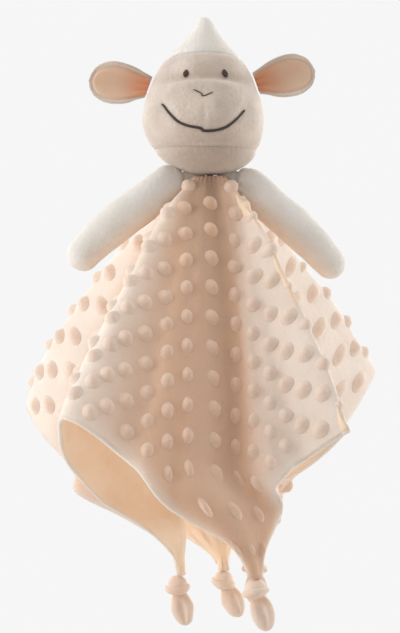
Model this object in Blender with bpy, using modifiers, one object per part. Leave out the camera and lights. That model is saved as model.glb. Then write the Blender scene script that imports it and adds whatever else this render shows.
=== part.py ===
"""A lamb comfort blanket: a small stuffed head, two ears and two arms on a knotted square of dotted plush.

Metres, +Z up. The toy hangs from the tip of its crown, which is the origin, and its face looks along -Y.
The square of cloth hangs from its own middle, so it falls in four ridges, one to the middle of each hem,
with its four knotted corners at the bottom. Azimuths are measured from the front (-Y) towards +X.
"""
import math

import bmesh
import bpy
from mathutils import Vector

# Cloth, seams and the clearances that every piece keeps
PLUSH_WALL = 0.0018          # velour of the head with its short pile
ARM_WALL = 0.0015            # thinner plush of the arms
MINKY_WALL = 0.0014          # dotted outer cloth of the blanket
LINING_WALL = 0.0008         # smooth inner cloth of the blanket
CLEARANCE = 0.0003           # between pieces that rest on each other
SEAM_GAP = 0.0008            # between two panels that meet along a seam
FILL_CLEARANCE = 0.0008      # between a shell and the filling inside it
WELD = 0.00001               # corners of a mapped grid that fall together

# Head, from the tip of the crown down
HEAD_HEIGHT = 0.0952
HEAD_HALF_WIDTH = 0.0363
HEAD_FRONT = 0.0385          # from the middle plane to the muzzle
HEAD_BACK = 0.0342           # from the middle plane to the back of the head
NECK_SHIFT = 0.0030          # the neck stands a little to the side of the crown
NECK_OPENING = 0.0030        # radius of the hole that the underside of the head closes round
# One row for each level: depth below the tip, half width, front, back and sideways shift of the middle
HEAD_LEVEL_SHARES = (
    (0.000, 0.000, 0.000, 0.000, 0.00),
    (0.017, 0.099, 0.088, 0.099, 0.00),
    (0.097, 0.229, 0.208, 0.234, 0.00),
    (0.172, 0.386, 0.353, 0.404, -0.10),
    (0.231, 0.540, 0.478, 0.556, -0.20),
    (0.300, 0.689, 0.587, 0.731, -0.30),
    (0.386, 0.815, 0.691, 0.863, -0.35),
    (0.461, 0.893, 0.842, 0.942, -0.40),
    (0.558, 0.975, 0.966, 0.994, -0.40),
    (0.660, 1.000, 1.000, 1.000, -0.40),
    (0.756, 0.953, 0.966, 0.947, -0.20),
    (0.843, 0.860, 0.857, 0.830, 0.10),
    (0.914, 0.716, 0.701, 0.673, 0.45),
    (0.968, 0.482, 0.481, 0.482, 0.75),
    (0.994, 0.248, 0.247, 0.263, 0.95),
)
CROWN_LEVEL = 4.0            # row of the table that the crown seam follows at the front
CROWN_BACK_DROP = 0.9        # rows that the seam falls towards the back
CHIN_LEVEL = 11.0            # row of the chin seam
FACE_EDGE_DEG = 92.0         # azimuth of the side seams, where the ears are sewn in
HEAD_FILL_TOP_LEVEL = 1.75
HEAD_FILL_BOTTOM_LEVEL = 14.0

# Embroidery on the face
EYE_DEPTH = 0.378 * HEAD_HEIGHT          # below the tip of the crown
EYE_LEFT_X = -0.314 * HEAD_HALF_WIDTH
EYE_RIGHT_X = 0.328 * HEAD_HALF_WIDTH
EYE_HALF_WIDTH = 0.0015
EYE_HALF_HEIGHT = 0.0023
EYE_RAISE = 0.0009
NOSE_LEFT_X = -0.168 * HEAD_HALF_WIDTH
NOSE_DEPTH = 0.496 * HEAD_HEIGHT
NOSE_WIDTH = 0.275 * HEAD_HALF_WIDTH
NOSE_DROP = 0.0326 * HEAD_HEIGHT
NOSE_POINT_SHARES = ((0.0, 0.0), (0.36, 0.5), (0.52, 1.0), (1.0, 0.45))
NOSE_THREAD = 0.0007         # radius
MOUTH_LEFT_X = -0.689 * HEAD_HALF_WIDTH
MOUTH_DEPTH = 0.580 * HEAD_HEIGHT
MOUTH_WIDTH = 1.317 * HEAD_HALF_WIDTH
MOUTH_DROP = 0.168 * HEAD_HEIGHT
MOUTH_POINT_SHARES = (
    (0.0, 0.0), (0.104, 0.4), (0.2, 0.67), (0.32, 0.82), (0.465, 0.91),
    (0.51, 1.0), (0.65, 0.98), (0.785, 0.85), (0.9, 0.58), (1.0, 0.25),
)
MOUTH_THREAD = 0.0010        # radius

# Ears: a cupped leaf of two cloths, sewn into the side seam by its narrow root
EAR_LENGTH = 0.0364
EAR_HALF_WIDTH = 0.0120
EAR_BACK_WALL = 0.0013
EAR_LINING_WALL = 0.0007
EAR_ROOT_GAP = 0.0009        # room for the root to turn beside the head
EAR_RIM = 0.0018             # how far the lining stays inside the edge of the back cloth
EAR_CUP = 0.0060             # how far the edges curl forward
EAR_LEFT_DEPTH = 0.445 * HEAD_HEIGHT     # middle of the root, below the tip of the crown
EAR_RIGHT_DEPTH = 0.420 * HEAD_HEIGHT
EAR_LEFT_RISE_DEG = 6.5
EAR_RIGHT_RISE_DEG = 12.0
EAR_TWIST_SHARE = 0.4        # of the length, in which the ear turns from the seam's line to its own
EAR_WIDTH_SHARES = ((0.0, 0.56), (0.12, 0.70), (0.25, 0.86), (0.45, 0.98), (0.65, 1.0),
                    (0.8, 0.88), (0.92, 0.6), (1.0, 0.0))
EAR_CUP_SHARES = ((0.0, 0.0), (0.15, 0.6), (0.4, 1.0), (0.75, 0.85), (1.0, 0.3))

# Neck: a wound bead of thread that the head turns and nods on
NECK_BEAD_RADIUS = 0.0022
NECK_BEAD_RISE = 0.0005      # from the underside of the head up to the middle of the bead

# Blanket: a square, from the middle of one hem to the middle of the one opposite
BLANKET_SIDE = 0.400
SEAM_CLOTH = 0.018           # cloth taken up by the gathered disc under the head
SEAM_RADIUS = 0.012          # radius of that disc
FOLD_EASE = 0.035            # length in which a fold settles from its first slope to its last
RIDGE_POWER = 1.2            # above 1, ridges are narrower than the valleys between them
GATHER_REACH = 0.058         # cloth above a knot that draws together towards it
GATHER_RADIUS = 0.0046       # the drawn-together cloth just above a knot
GATHER_STEM = 0.003          # cloth that stands straight above a knot
GATHER_PLEAT = 0.047         # height above the stem in which the pleats open
GATHER_WRAP_DEG = 68.0       # how far round the knot that cloth reaches to each side
GATHER_OPEN_DEG = 55.0       # the same where the pleats have opened
GATHER_HANG_SHARE = 0.54     # of an opening pleat's radius, how much opens away from the corner's own line
# Each fold line: azimuth in the flat square, azimuth as hung, and slope from the vertical at the neck,
# through the middle and at the hem
FOLDS_DEG = (
    (-45.0, -39.6, 60.0, 36.4, 32.4),
    (-24.0, -20.5, 43.0, 29.0, 28.0),
    (-8.0, -8.5, 46.0, 23.0, 24.0),
    (6.0, 9.0, 39.0, 18.0, 18.0),
    (21.0, 20.5, 39.0, 23.0, 21.0),
    (32.0, 29.5, 43.0, 24.0, 21.0),
    (45.0, 42.0, 60.0, 32.6, 27.6),
    (62.0, 40.0, 30.0, 8.0, 8.0),
    (88.0, 88.0, 16.0, 7.0, 7.0),
    (112.0, 132.0, 34.0, 12.0, 12.0),
    (135.0, 134.0, 66.0, 49.0, 41.0),
    (182.0, 190.0, 26.0, 9.0, 9.0),
    (225.0, 245.8, 57.0, 45.2, 12.0),
    (248.0, 260.0, 38.0, 18.0, 17.0),
    (270.0, 281.0, 16.0, 2.0, 2.0),
)
KNOT_CLOTH = 0.0250          # cloth that a corner gives to its knot
# Each corner: flat azimuth in degrees, share of KNOT_CLOTH, where the knot hangs from the neck (to +X,
# to +Y and down) as shares of the cloth above it, and whether that cloth bulges away from the middle (1)
# or folds in towards it (-1)
CORNER_SHARES = {
    "front": (0.0, 1.05, 0.099, -0.33, 0.92, 1.0),
    "right": (90.0, 1.19, 0.1067, 0.0395, 0.9209, -1.0),
    "back": (180.0, 0.83, 0.0324, 0.1450, 0.9351, -1.0),
    "left": (270.0, 0.91, -0.0750, 0.0077, 0.9385, -1.0),
}
# Azimuths of the columns of the cloth, from each corner, and how far down each row lies
COLUMN_OFFSETS_DEG = (-36.0, -27.0, -18.0, -11.0, -2.4, 2.4, 11.0, 18.0, 27.0, 36.0, 45.0)
ROW_SHARES = (0.0, 0.07, 0.16, 0.28, 0.41, 0.54, 0.67, 0.79, 0.89, 0.97, 1.0)

# Knots: a ball round the drawn cloth, a turn of cloth about it and the folded corner hanging below
KNOT_RADIUS = 0.0064
KNOT_TURN_RADIUS = 0.0052    # middle of the turn of cloth
KNOT_TURN_TUBE = 0.0025
KNOT_TURN_DROP = 0.0016
TAIL_LENGTH = 0.0215
TAIL_HALF_WIDTH = 0.0070
TAIL_HALF_DEPTH = 0.0038
TAIL_NECK_SHARE = 0.62       # how full the tail is inside the ball, and
TAIL_SWELL_SHARE = 0.6       # how far down it is at its fullest
TAIL_LEAN_DEG = {"front": 16.0, "right": 4.0, "back": 24.0, "left": 12.0}

# Arms: stuffed sleeves, gathered at the shoulder
ARM_RADIUS = 0.0118
SHOULDER_RADIUS = 0.0060
ARM_RADIUS_SHARES = ((0.0, 0.522), (0.15, 0.74), (0.3, 0.92), (0.5, 1.0), (0.7, 0.99),
                     (0.85, 0.93), (1.0, 0.85))
ARM_FULL_SHARE = 0.5         # how far down an arm its own fullness is reached
SHOULDER_OPENING_DEG = 30.0
SHOULDER_DROP = 0.0055       # below the top of the blanket
ARM_BEND_REACH = 0.0260      # from the shoulder to the middle of the bend
ARM_BEND_DROP = 0.0090
# Azimuth, reach from the neck to the middle of the shoulder, and from there to the wrist
LEFT_ARM = {"azimuth": -80.0, "shoulder": 0.0210, "reach": 0.0555, "drop": 0.0400, "fullness": 1.0}
RIGHT_ARM = {"azimuth": 86.0, "shoulder": 0.0200, "reach": 0.0520, "drop": 0.0450, "fullness": 0.95}

CLOTH_COLOURS = {
    "face_velour": (0.56, 0.47, 0.40, 1.0),
    "white_plush": (0.80, 0.79, 0.75, 1.0),
    "ear_satin": (0.72, 0.42, 0.31, 1.0),
    "brown_thread": (0.07, 0.045, 0.035, 1.0),
    "peach_minky": (0.72, 0.56, 0.46, 1.0),
    "peach_lining": (0.66, 0.48, 0.37, 1.0),
    "pale_thread": (0.78, 0.72, 0.66, 1.0),
    "polyester_fill": (0.86, 0.86, 0.84, 1.0),
}

for old in list(bpy.data.objects):
    bpy.data.objects.remove(old, do_unlink=True)

PARTS = bpy.data.collections.new("comfort_blanket_lovey")
CUTTERS = bpy.data.collections.new("cutters")
bpy.context.scene.collection.children.link(PARTS)
bpy.context.scene.collection.children.link(CUTTERS)


# Helpers

def read_shares(table, place):
    """A smooth curve through (place, share) points, read at one place."""
    for (start, first), (end, last) in zip(table, table[1:]):
        if place <= end:
            across = (place - start) / (end - start)
            before = slope_at(table, start)
            after = slope_at(table, end)
            return hermite(first, last, before * (end - start), after * (end - start), across)
    return table[-1][1]


def slope_at(table, place):
    """The slope of a table of shares at one of its points, from its two neighbours."""
    places = [row[0] for row in table]
    index = places.index(place)
    low = max(index - 1, 0)
    high = min(index + 1, len(table) - 1)
    return (table[high][1] - table[low][1]) / (table[high][0] - table[low][0])


def hermite(first, last, slope_in, slope_out, across):
    square = across * across
    cube = square * across
    return (first * (2.0 * cube - 3.0 * square + 1.0) + slope_in * (cube - 2.0 * square + across)
            + last * (3.0 * square - 2.0 * cube) + slope_out * (cube - square))


def smooth(value):
    """0 below 0, 1 above 1, and an even rise between."""
    inside = min(max(value, 0.0), 1.0)
    return inside * inside * (3.0 - 2.0 * inside)


def heading(azimuth_deg):
    """The level unit vector at an azimuth from the front."""
    angle = math.radians(azimuth_deg)
    return Vector((math.sin(angle), -math.cos(angle), 0.0))


def cloth_material(slot):
    material = bpy.data.materials.get(slot)
    if material is None:
        material = bpy.data.materials.new(slot)
        material.use_nodes = True
        shader = material.node_tree.nodes["Principled BSDF"]
        shader.inputs["Base Color"].default_value = CLOTH_COLOURS[slot]
        shader.inputs["Roughness"].default_value = 0.9
        shader.inputs["Metallic"].default_value = 0.0
        material.diffuse_color = CLOTH_COLOURS[slot]
    return material


def add_object(name, mesh, slot, collection=PARTS):
    piece = bpy.data.objects.new(name, mesh)
    mesh.shade_smooth()
    mesh.materials.append(cloth_material(slot))
    collection.objects.link(piece)
    return piece


def mapped_grid(name, columns, rows, point_of, outward_of):
    """A grid whose corners are laid on a surface: point_of(column, row) gives each corner's place.

    Corners that fall together are welded, which closes a ring or a pole. outward_of(middle) gives the
    direction that the faces should look in.
    """
    work = bmesh.new()
    bmesh.ops.create_grid(work, x_segments=columns, y_segments=rows, size=0.5)
    for corner in work.verts:
        column = round((corner.co.x + 0.5) * columns)
        row = round((corner.co.y + 0.5) * rows)
        corner.co = point_of(column, row)
    bmesh.ops.remove_doubles(work, verts=work.verts, dist=WELD)
    bmesh.ops.dissolve_degenerate(work, edges=work.edges, dist=WELD)
    work.normal_update()
    facing = 0.0
    for face in work.faces:
        facing += face.normal.dot(outward_of(face.calc_center_median())) * face.calc_area()
    if facing < 0.0:
        bmesh.ops.reverse_faces(work, faces=work.faces)
    mesh = bpy.data.meshes.new(name)
    work.to_mesh(mesh)
    work.free()
    return mesh


def turn_outwards(work):
    """Turns a closed shape's faces outwards if mapping it has turned it inside out."""
    if work.calc_volume(signed=True) < 0.0:
        bmesh.ops.reverse_faces(work, faces=work.faces)


def thicken(piece, wall, offset=-1.0):
    """Cloth thickness, inwards from the surface, or outwards with an offset of 1."""
    solid = piece.modifiers.new("cloth", "SOLIDIFY")
    solid.thickness = wall
    solid.offset = offset
    return piece


def thread_tube(name, points, radius, slot):
    """A satin-stitched line: a round tube along a smooth curve through the points."""
    data = bpy.data.curves.new(name, "CURVE")
    data.dimensions = "3D"
    data.bevel_depth = radius
    data.bevel_resolution = 1
    data.use_fill_caps = True
    spline = data.splines.new("POLY")
    spline.points.add(len(points) - 1)
    for target, place in zip(spline.points, points):
        target.co = (*place, 1.0)
    piece = bpy.data.objects.new(name, data)
    data.materials.append(cloth_material(slot))
    PARTS.objects.link(piece)
    return piece


# Head

def head_level(level):
    """Depth, half width, front, back and sideways shift of the head at a level of the table."""
    last = (1.0, NECK_OPENING / HEAD_HALF_WIDTH, NECK_OPENING / HEAD_FRONT, NECK_OPENING / HEAD_BACK, 1.0)
    table = HEAD_LEVEL_SHARES + (last,)
    top = len(table) - 1
    start = min(int(level), top - 1)
    across = level - start
    values = []
    for column in range(len(last)):
        first = table[start][column]
        second = table[start + 1][column]
        before = table[max(start - 1, 0)][column]
        after = table[min(start + 2, top)][column]
        values.append(hermite(first, second, (second - before) / 2.0, (after - first) / 2.0, across))
    return (values[0] * HEAD_HEIGHT, values[1] * HEAD_HALF_WIDTH, values[2] * HEAD_FRONT,
            values[3] * HEAD_BACK, values[4] * NECK_SHIFT)


def head_point(azimuth_deg, level):
    depth, half_width, front, back, shift = head_level(level)
    angle = math.radians(azimuth_deg)
    reach = front if math.cos(angle) > 0.0 else back
    return Vector((shift + half_width * math.sin(angle), -reach * math.cos(angle), -depth))


def head_normal(azimuth_deg, level):
    """The outward direction of the head's surface, from points just beside the place."""
    turn = 0.5
    step = 0.02
    around = head_point(azimuth_deg + turn, level) - head_point(azimuth_deg - turn, level)
    down = head_point(azimuth_deg, level + step) - head_point(azimuth_deg, level - step)
    return down.cross(around).normalized()


def level_at(depth):
    """The level of the table at a depth below the tip."""
    low = 0.0
    high = float(len(HEAD_LEVEL_SHARES))
    for _ in range(40):
        middle = (low + high) / 2.0
        if head_level(middle)[0] < depth:
            low = middle
        else:
            high = middle
    return low


def face_place(x, depth, lift):
    """A point above the face, at a sideways place and a depth, with its outward direction."""
    level = level_at(depth)
    _, half_width, _, _, shift = head_level(level)
    azimuth = math.degrees(math.asin((x - shift) / half_width))
    normal = head_normal(azimuth, level)
    return head_point(azimuth, level) + normal * lift, normal


def crown_seam(azimuth_deg):
    return CROWN_LEVEL + CROWN_BACK_DROP * (1.0 - math.cos(math.radians(azimuth_deg))) / 2.0


def level_step(azimuth_deg, level, distance):
    """How many levels one distance along the surface takes."""
    step = 0.02
    run = (head_point(azimuth_deg, level + step) - head_point(azimuth_deg, level - step)).length
    return distance * 2.0 * step / run


def away_from_head(middle):
    return middle - Vector((0.0, 0.0, -HEAD_HEIGHT / 2.0))


def head_panel(name, slot, azimuths, top_of, bottom_of, columns, rows):
    """A velour panel between two azimuths, or all round, and between an upper and a lower seam."""
    first, last = azimuths
    closed = last - first >= 360.0
    half_gap = SEAM_GAP / 2.0

    def point_of(column, row):
        azimuth = first + (last - first) * column / columns
        top = top_of(azimuth)
        bottom = bottom_of(azimuth)
        if top > 0.0:
            top += level_step(azimuth, top, half_gap)
        if bottom < len(HEAD_LEVEL_SHARES):
            bottom -= level_step(azimuth, bottom, half_gap)
        level = top + (bottom - top) * row / rows
        if not closed:
            sideways = head_level(level)[1]
            inset = math.degrees(half_gap / max(sideways, half_gap))
            azimuth = first + inset + (last - first - 2.0 * inset) * column / columns
        return head_point(azimuth, level)

    mesh = mapped_grid(name, columns, rows, point_of, away_from_head)
    return thicken(add_object(name, mesh, slot), PLUSH_WALL)


def level_seam(level):
    """A seam that keeps to one level all round."""
    return lambda azimuth: level


def make_head():
    tip = level_seam(0.0)
    chin = level_seam(CHIN_LEVEL)
    neck = level_seam(float(len(HEAD_LEVEL_SHARES)))
    edge = FACE_EDGE_DEG
    head_panel("crown_cone", "white_plush", (-180.0, 180.0), tip, crown_seam, 24, 5)
    head_panel("face_panel", "face_velour", (-edge, edge), crown_seam, chin, 18, 11)
    head_panel("chin_panel", "face_velour", (-edge, edge), chin, neck, 18, 5)
    head_panel("head_back_left", "white_plush", (-180.0, -edge), crown_seam, neck, 8, 14)
    head_panel("head_back_right", "white_plush", (edge, 180.0), crown_seam, neck, 8, 14)
    make_head_fill(24, 14)


def make_head_fill(columns, rows):
    """The filling: a closed body a little inside the panels, with a flat cap at its top and bottom."""
    inset = PLUSH_WALL + FILL_CLEARANCE
    span = HEAD_FILL_BOTTOM_LEVEL - HEAD_FILL_TOP_LEVEL

    def inner_point(azimuth, level):
        return head_point(azimuth, level) - head_normal(azimuth, level) * inset

    def point_of(column, row):
        inner = min(max(row - 1, 0), rows - 2)
        level = HEAD_FILL_TOP_LEVEL + span * inner / (rows - 2)
        if row in (0, rows):
            return (inner_point(90.0, level) + inner_point(-90.0, level)) / 2.0
        return inner_point(360.0 * (column % columns) / columns, level)

    mesh = mapped_grid("head_stuffing", columns, rows, point_of, away_from_head)
    add_object("head_stuffing", mesh, "polyester_fill")


def make_eye(name, x):
    """A raised oval of satin stitch, laid on the face."""
    place, normal = face_place(x, EYE_DEPTH, EYE_RAISE + CLEARANCE)
    mesh = bpy.data.meshes.new(name)
    work = bmesh.new()
    bmesh.ops.create_uvsphere(work, u_segments=12, v_segments=8, radius=1.0)
    across = Vector((0.0, 0.0, 1.0)).cross(normal).normalized()
    upright = normal.cross(across)
    for corner in work.verts:
        corner.co = (place + across * corner.co.x * EYE_HALF_WIDTH + upright * corner.co.z * EYE_HALF_HEIGHT
                     + normal * corner.co.y * EYE_RAISE)
    turn_outwards(work)
    work.to_mesh(mesh)
    work.free()
    add_object(name, mesh, "brown_thread")


def make_embroidery():
    make_eye("eye_left", EYE_LEFT_X)
    make_eye("eye_right", EYE_RIGHT_X)
    nose = [face_place(NOSE_LEFT_X + across * NOSE_WIDTH, NOSE_DEPTH + down * NOSE_DROP,
                       NOSE_THREAD + CLEARANCE)[0] for across, down in NOSE_POINT_SHARES]
    thread_tube("nose_stitch", nose, NOSE_THREAD, "brown_thread")
    mouth = [face_place(MOUTH_LEFT_X + across * MOUTH_WIDTH, MOUTH_DEPTH + down * MOUTH_DROP,
                        MOUTH_THREAD + CLEARANCE)[0] for across, down in MOUTH_POINT_SHARES]
    thread_tube("mouth_stitch", mouth, MOUTH_THREAD, "brown_thread")


# Ears

def ear_frame(side):
    """Root, root line, length, width and forward directions of the left (-1) or right (1) ear."""
    level = level_at(EAR_LEFT_DEPTH if side < 0 else EAR_RIGHT_DEPTH)
    seam = head_point(side * FACE_EDGE_DEG, level)
    out = head_normal(side * FACE_EDGE_DEG, level)
    forward = Vector((0.0, -1.0, 0.0))
    root_line = out.cross(forward).normalized() * -side
    rise = math.radians(EAR_LEFT_RISE_DEG if side < 0 else EAR_RIGHT_RISE_DEG)
    length = Vector((side * math.cos(rise), 0.0, math.sin(rise)))
    width = Vector((-side * math.sin(rise), 0.0, math.cos(rise)))
    return seam + out * EAR_ROOT_GAP, root_line, length, width, forward


def ear_surface(side, rim, lift, columns, rows):
    root, root_line, length, width, forward = ear_frame(side)

    def point_of(column, row):
        along = 1.0 - (1.0 - row / rows) ** 1.5
        across = 2.0 * column / columns - 1.0
        half = max(read_shares(EAR_WIDTH_SHARES, along) * EAR_HALF_WIDTH - rim, 0.0)
        reach = along * (EAR_LENGTH - rim)
        aslant = half / EAR_HALF_WIDTH * across
        curl = read_shares(EAR_CUP_SHARES, reach / EAR_LENGTH) * EAR_CUP * aslant * aslant
        aside = root_line.lerp(width, smooth(along / EAR_TWIST_SHARE))
        return root + length * reach + aside * (half * across) + forward * (curl + lift)

    return point_of


def towards_front(_):
    return Vector((0.0, -1.0, 0.0))


def make_ear(side, word):
    """A back cloth and a lining, cupped towards the front."""
    columns = 8
    rows = 9
    back_name = f"ear_{word}_back"
    lining_name = f"ear_{word}_lining"
    back = mapped_grid(back_name, columns, rows, ear_surface(side, 0.0, 0.0, columns, rows), towards_front)
    thicken(add_object(back_name, back, "face_velour"), EAR_BACK_WALL)
    inner = ear_surface(side, EAR_RIM, CLEARANCE, columns, rows)
    lining = mapped_grid(lining_name, columns, rows, inner, towards_front)
    thicken(add_object(lining_name, lining, "ear_satin"), EAR_LINING_WALL, 1.0)


# Blanket

def neck_middle():
    """The middle of the thread bead, which the head turns and nods on."""
    return Vector((NECK_SHIFT, 0.0, NECK_BEAD_RISE - HEAD_HEIGHT))


def blanket_top():
    return neck_middle() - Vector((0.0, 0.0, NECK_BEAD_RADIUS + CLEARANCE))


def between_slopes(near, far, across):
    """A slope between two fold lines, which stays near the lower one so that the ridges are narrow."""
    rise = (1.0 - math.cos(math.pi * across)) / 2.0
    if far > near:
        return near + (far - near) * rise ** RIDGE_POWER
    return far + (near - far) * (1.0 - rise) ** RIDGE_POWER


def fold_at(flat_deg):
    """Azimuth as hung and the three slopes of the cloth at a flat azimuth."""
    start = FOLDS_DEG[0]
    folds = FOLDS_DEG + ((start[0] + 360.0, start[1] + 360.0, *start[2:]),)
    flat = (flat_deg - start[0]) % 360.0 + start[0]
    for near, far in zip(folds, folds[1:]):
        if flat <= far[0]:
            across = (flat - near[0]) / (far[0] - near[0])
            slopes = [between_slopes(one, other, across) for one, other in zip(near[2:], far[2:])]
            return near[1] + (far[1] - near[1]) * across, *slopes
    return folds[-1][1:]


def hung_point(flat_deg, cloth):
    """Where cloth at a flat azimuth and distance from the middle hangs, before the corners are drawn in."""
    hung_deg, first, middle, last = fold_at(flat_deg)
    top = blanket_top()
    if cloth <= SEAM_CLOTH:
        return top + heading(flat_deg) * (SEAM_RADIUS * cloth / SEAM_CLOTH)
    steps = 24
    step = (cloth - SEAM_CLOTH) / steps
    out = SEAM_RADIUS
    down = 0.0
    for index in range(steps):
        run = (index + 0.5) * step
        droop = min(run / (BLANKET_SIDE / 2.0 - SEAM_CLOTH), 1.0) ** 3
        slope = math.radians(middle + (first - middle) * math.exp(-run / FOLD_EASE) + (last - middle) * droop)
        out += math.sin(slope) * step
        down += math.cos(slope) * step
    turned = (hung_deg - flat_deg + 180.0) % 360.0 - 180.0
    turned *= 1.0 - math.exp(-(cloth - SEAM_CLOTH) / FOLD_EASE)
    return top + heading(flat_deg + turned) * out - Vector((0.0, 0.0, down))


def corner_cloth(corner):
    """Cloth from the middle of the square to a corner's knot."""
    return BLANKET_SIDE / math.sqrt(2.0) - KNOT_CLOTH * CORNER_SHARES[corner][1]


def knot_middle(corner):
    _, _, x, y, down, _ = CORNER_SHARES[corner]
    return blanket_top() + Vector((x, y, -down)) * corner_cloth(corner)


def drawn_radius(corner):
    """Radius of the blanket's outer face where it meets a knot; folded cloth has it on the inside."""
    layers = MINKY_WALL + CLEARANCE + LINING_WALL
    return GATHER_RADIUS if CORNER_SHARES[corner][5] > 0.0 else GATHER_RADIUS - layers


def gather_height():
    """Height of the drawn cloth's end above the middle of the knot's ball."""
    clear = KNOT_RADIUS + CLEARANCE
    inner = GATHER_RADIUS - MINKY_WALL - CLEARANCE - LINING_WALL
    return math.sqrt(clear * clear - inner * inner)


def nearest_corner(flat_deg):
    """The corner whose quarter of the square a flat azimuth lies in, and the azimuth from it."""
    for corner, row in CORNER_SHARES.items():
        offset = (flat_deg - row[0] + 180.0) % 360.0 - 180.0
        if abs(offset) <= 45.0:
            return corner, offset
    raise ValueError("no corner")


def cloth_edge(flat_deg):
    """Cloth from the middle of the square to its edge, with the corners taken into the knots."""
    corner, offset = nearest_corner(flat_deg)
    hem = BLANKET_SIDE / 2.0 / math.cos(math.radians(45.0 - abs(offset)))
    return min(hem, corner_cloth(corner) / math.cos(math.radians(offset)))


def cloth_point(flat_deg, cloth):
    """A point of the hung blanket's outer face."""
    corner, offset = nearest_corner(flat_deg)
    _, _, x, y, _, bulge = CORNER_SHARES[corner]
    reach = corner_cloth(corner)
    along = cloth * math.cos(math.radians(offset))
    sideways = cloth * math.sin(math.radians(offset))
    hung = hung_point(flat_deg, cloth)
    drawn = smooth((along - (reach - GATHER_REACH)) / GATHER_REACH)
    if drawn <= 0.0:
        return hung
    half_width = BLANKET_SIDE / math.sqrt(2.0) - along
    opened = smooth((reach - along - GATHER_STEM) / GATHER_PLEAT)
    wrap = math.radians(GATHER_WRAP_DEG + (GATHER_OPEN_DEG - GATHER_WRAP_DEG) * opened)
    turn = wrap * sideways / half_width
    tight = drawn_radius(corner)
    radius = tight + (half_width / wrap - tight) * opened
    outward = Vector((x, y, 0.0)).normalized()
    aside = Vector((-outward.y, outward.x, 0.0))
    end = knot_middle(corner) + Vector((0.0, 0.0, gather_height() + (reach - along)))
    end -= outward * (bulge * GATHER_HANG_SHARE * (radius - tight))
    ring = outward * (bulge * math.cos(turn)) + aside * math.sin(turn)
    return hung.lerp(end + ring * radius, drawn)


def blanket_columns():
    """Flat azimuths of the cloth's columns: the folds, and each knot's own edges."""
    columns = []
    for corner, row in CORNER_SHARES.items():
        edge = math.degrees(math.atan2(KNOT_CLOTH * row[1], corner_cloth(corner)))
        offsets = sorted(COLUMN_OFFSETS_DEG + (-edge, edge))
        columns += [row[0] + offset for offset in offsets]
    return columns


def blanket_grid(name):
    columns = blanket_columns()
    count = len(columns)
    rows = len(ROW_SHARES)

    def point_of(column, row):
        flat = columns[column % count]
        if row == 0:
            return blanket_top()
        edge = cloth_edge(flat)
        return cloth_point(flat, SEAM_CLOTH + (edge - SEAM_CLOTH) * ROW_SHARES[row - 1])

    return mapped_grid(name, count, rows, point_of, lambda middle: Vector((0.0, 0.0, 1.0)))


def make_blanket():
    thicken(add_object("blanket_minky", blanket_grid("blanket_minky"), "peach_minky"), MINKY_WALL)
    inner = blanket_grid("blanket_lining")
    inset = MINKY_WALL + CLEARANCE
    places = [vertex.co - vertex.normal * inset for vertex in inner.vertices]
    for vertex, place in zip(inner.vertices, places):
        vertex.co = place
    thicken(add_object("blanket_lining", inner, "peach_lining"), LINING_WALL)


def make_neck_thread():
    mesh = bpy.data.meshes.new("neck_thread")
    work = bmesh.new()
    bmesh.ops.create_uvsphere(work, u_segments=16, v_segments=10, radius=NECK_BEAD_RADIUS)
    work.to_mesh(mesh)
    work.free()
    add_object("neck_thread", mesh, "pale_thread").location = neck_middle()


# Knots

def knot_shape(name, collection, build):
    mesh = bpy.data.meshes.new(name)
    work = bmesh.new()
    build(work)
    work.to_mesh(mesh)
    work.free()
    piece = add_object(name, mesh, "peach_minky", collection)
    if collection is CUTTERS:
        piece.hide_render = True
        piece.display_type = "WIRE"
    return piece


def ball_of(work):
    bmesh.ops.create_uvsphere(work, u_segments=14, v_segments=8, radius=KNOT_RADIUS)


def tail_of(lean_deg):
    """The folded corner: a flat drop that starts inside the ball and hangs below it."""
    lean = math.radians(lean_deg)
    down = Vector((math.sin(lean), 0.0, -math.cos(lean)))
    across = Vector((math.cos(lean), 0.0, math.sin(lean)))

    def build(work):
        bmesh.ops.create_uvsphere(work, u_segments=12, v_segments=9, radius=1.0)
        for corner in work.verts:
            along = (1.0 - corner.co.z) / 2.0
            swell = TAIL_NECK_SHARE + (1.0 - TAIL_NECK_SHARE) * smooth(along / TAIL_SWELL_SHARE)
            corner.co = (down * (along * (TAIL_LENGTH + KNOT_RADIUS / 2.0))
                         + across * (corner.co.x * TAIL_HALF_WIDTH * swell)
                         + Vector((0.0, corner.co.y * TAIL_HALF_DEPTH * swell, 0.0)))
        turn_outwards(work)

    return build


def turn_of(work):
    """The turn of cloth that closes the knot: a ring about the ball, just below its middle."""
    rounds, sides = 14, 6
    bmesh.ops.create_grid(work, x_segments=rounds, y_segments=sides, size=0.5)
    for corner in work.verts:
        round_angle = 2.0 * math.pi * (corner.co.x + 0.5)
        side_angle = 2.0 * math.pi * (corner.co.y + 0.5)
        reach = KNOT_TURN_RADIUS + KNOT_TURN_TUBE * math.cos(side_angle)
        corner.co = Vector((reach * math.cos(round_angle), reach * math.sin(round_angle),
                            KNOT_TURN_TUBE * math.sin(side_angle) - KNOT_TURN_DROP))
    bmesh.ops.remove_doubles(work, verts=work.verts, dist=WELD)
    turn_outwards(work)


def make_knot(corner):
    name = f"{corner}_knot"
    middle = knot_middle(corner)
    ball = knot_shape(name, PARTS, ball_of)
    ball.location = middle
    for part, build in (("tail", tail_of(TAIL_LEAN_DEG[corner])), ("turn", turn_of)):
        tool = knot_shape(f"{name}_{part}", CUTTERS, build)
        tool.location = middle
        union = ball.modifiers.new(part, "BOOLEAN")
        union.operation = "UNION"
        union.object = tool


# Arms

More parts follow.
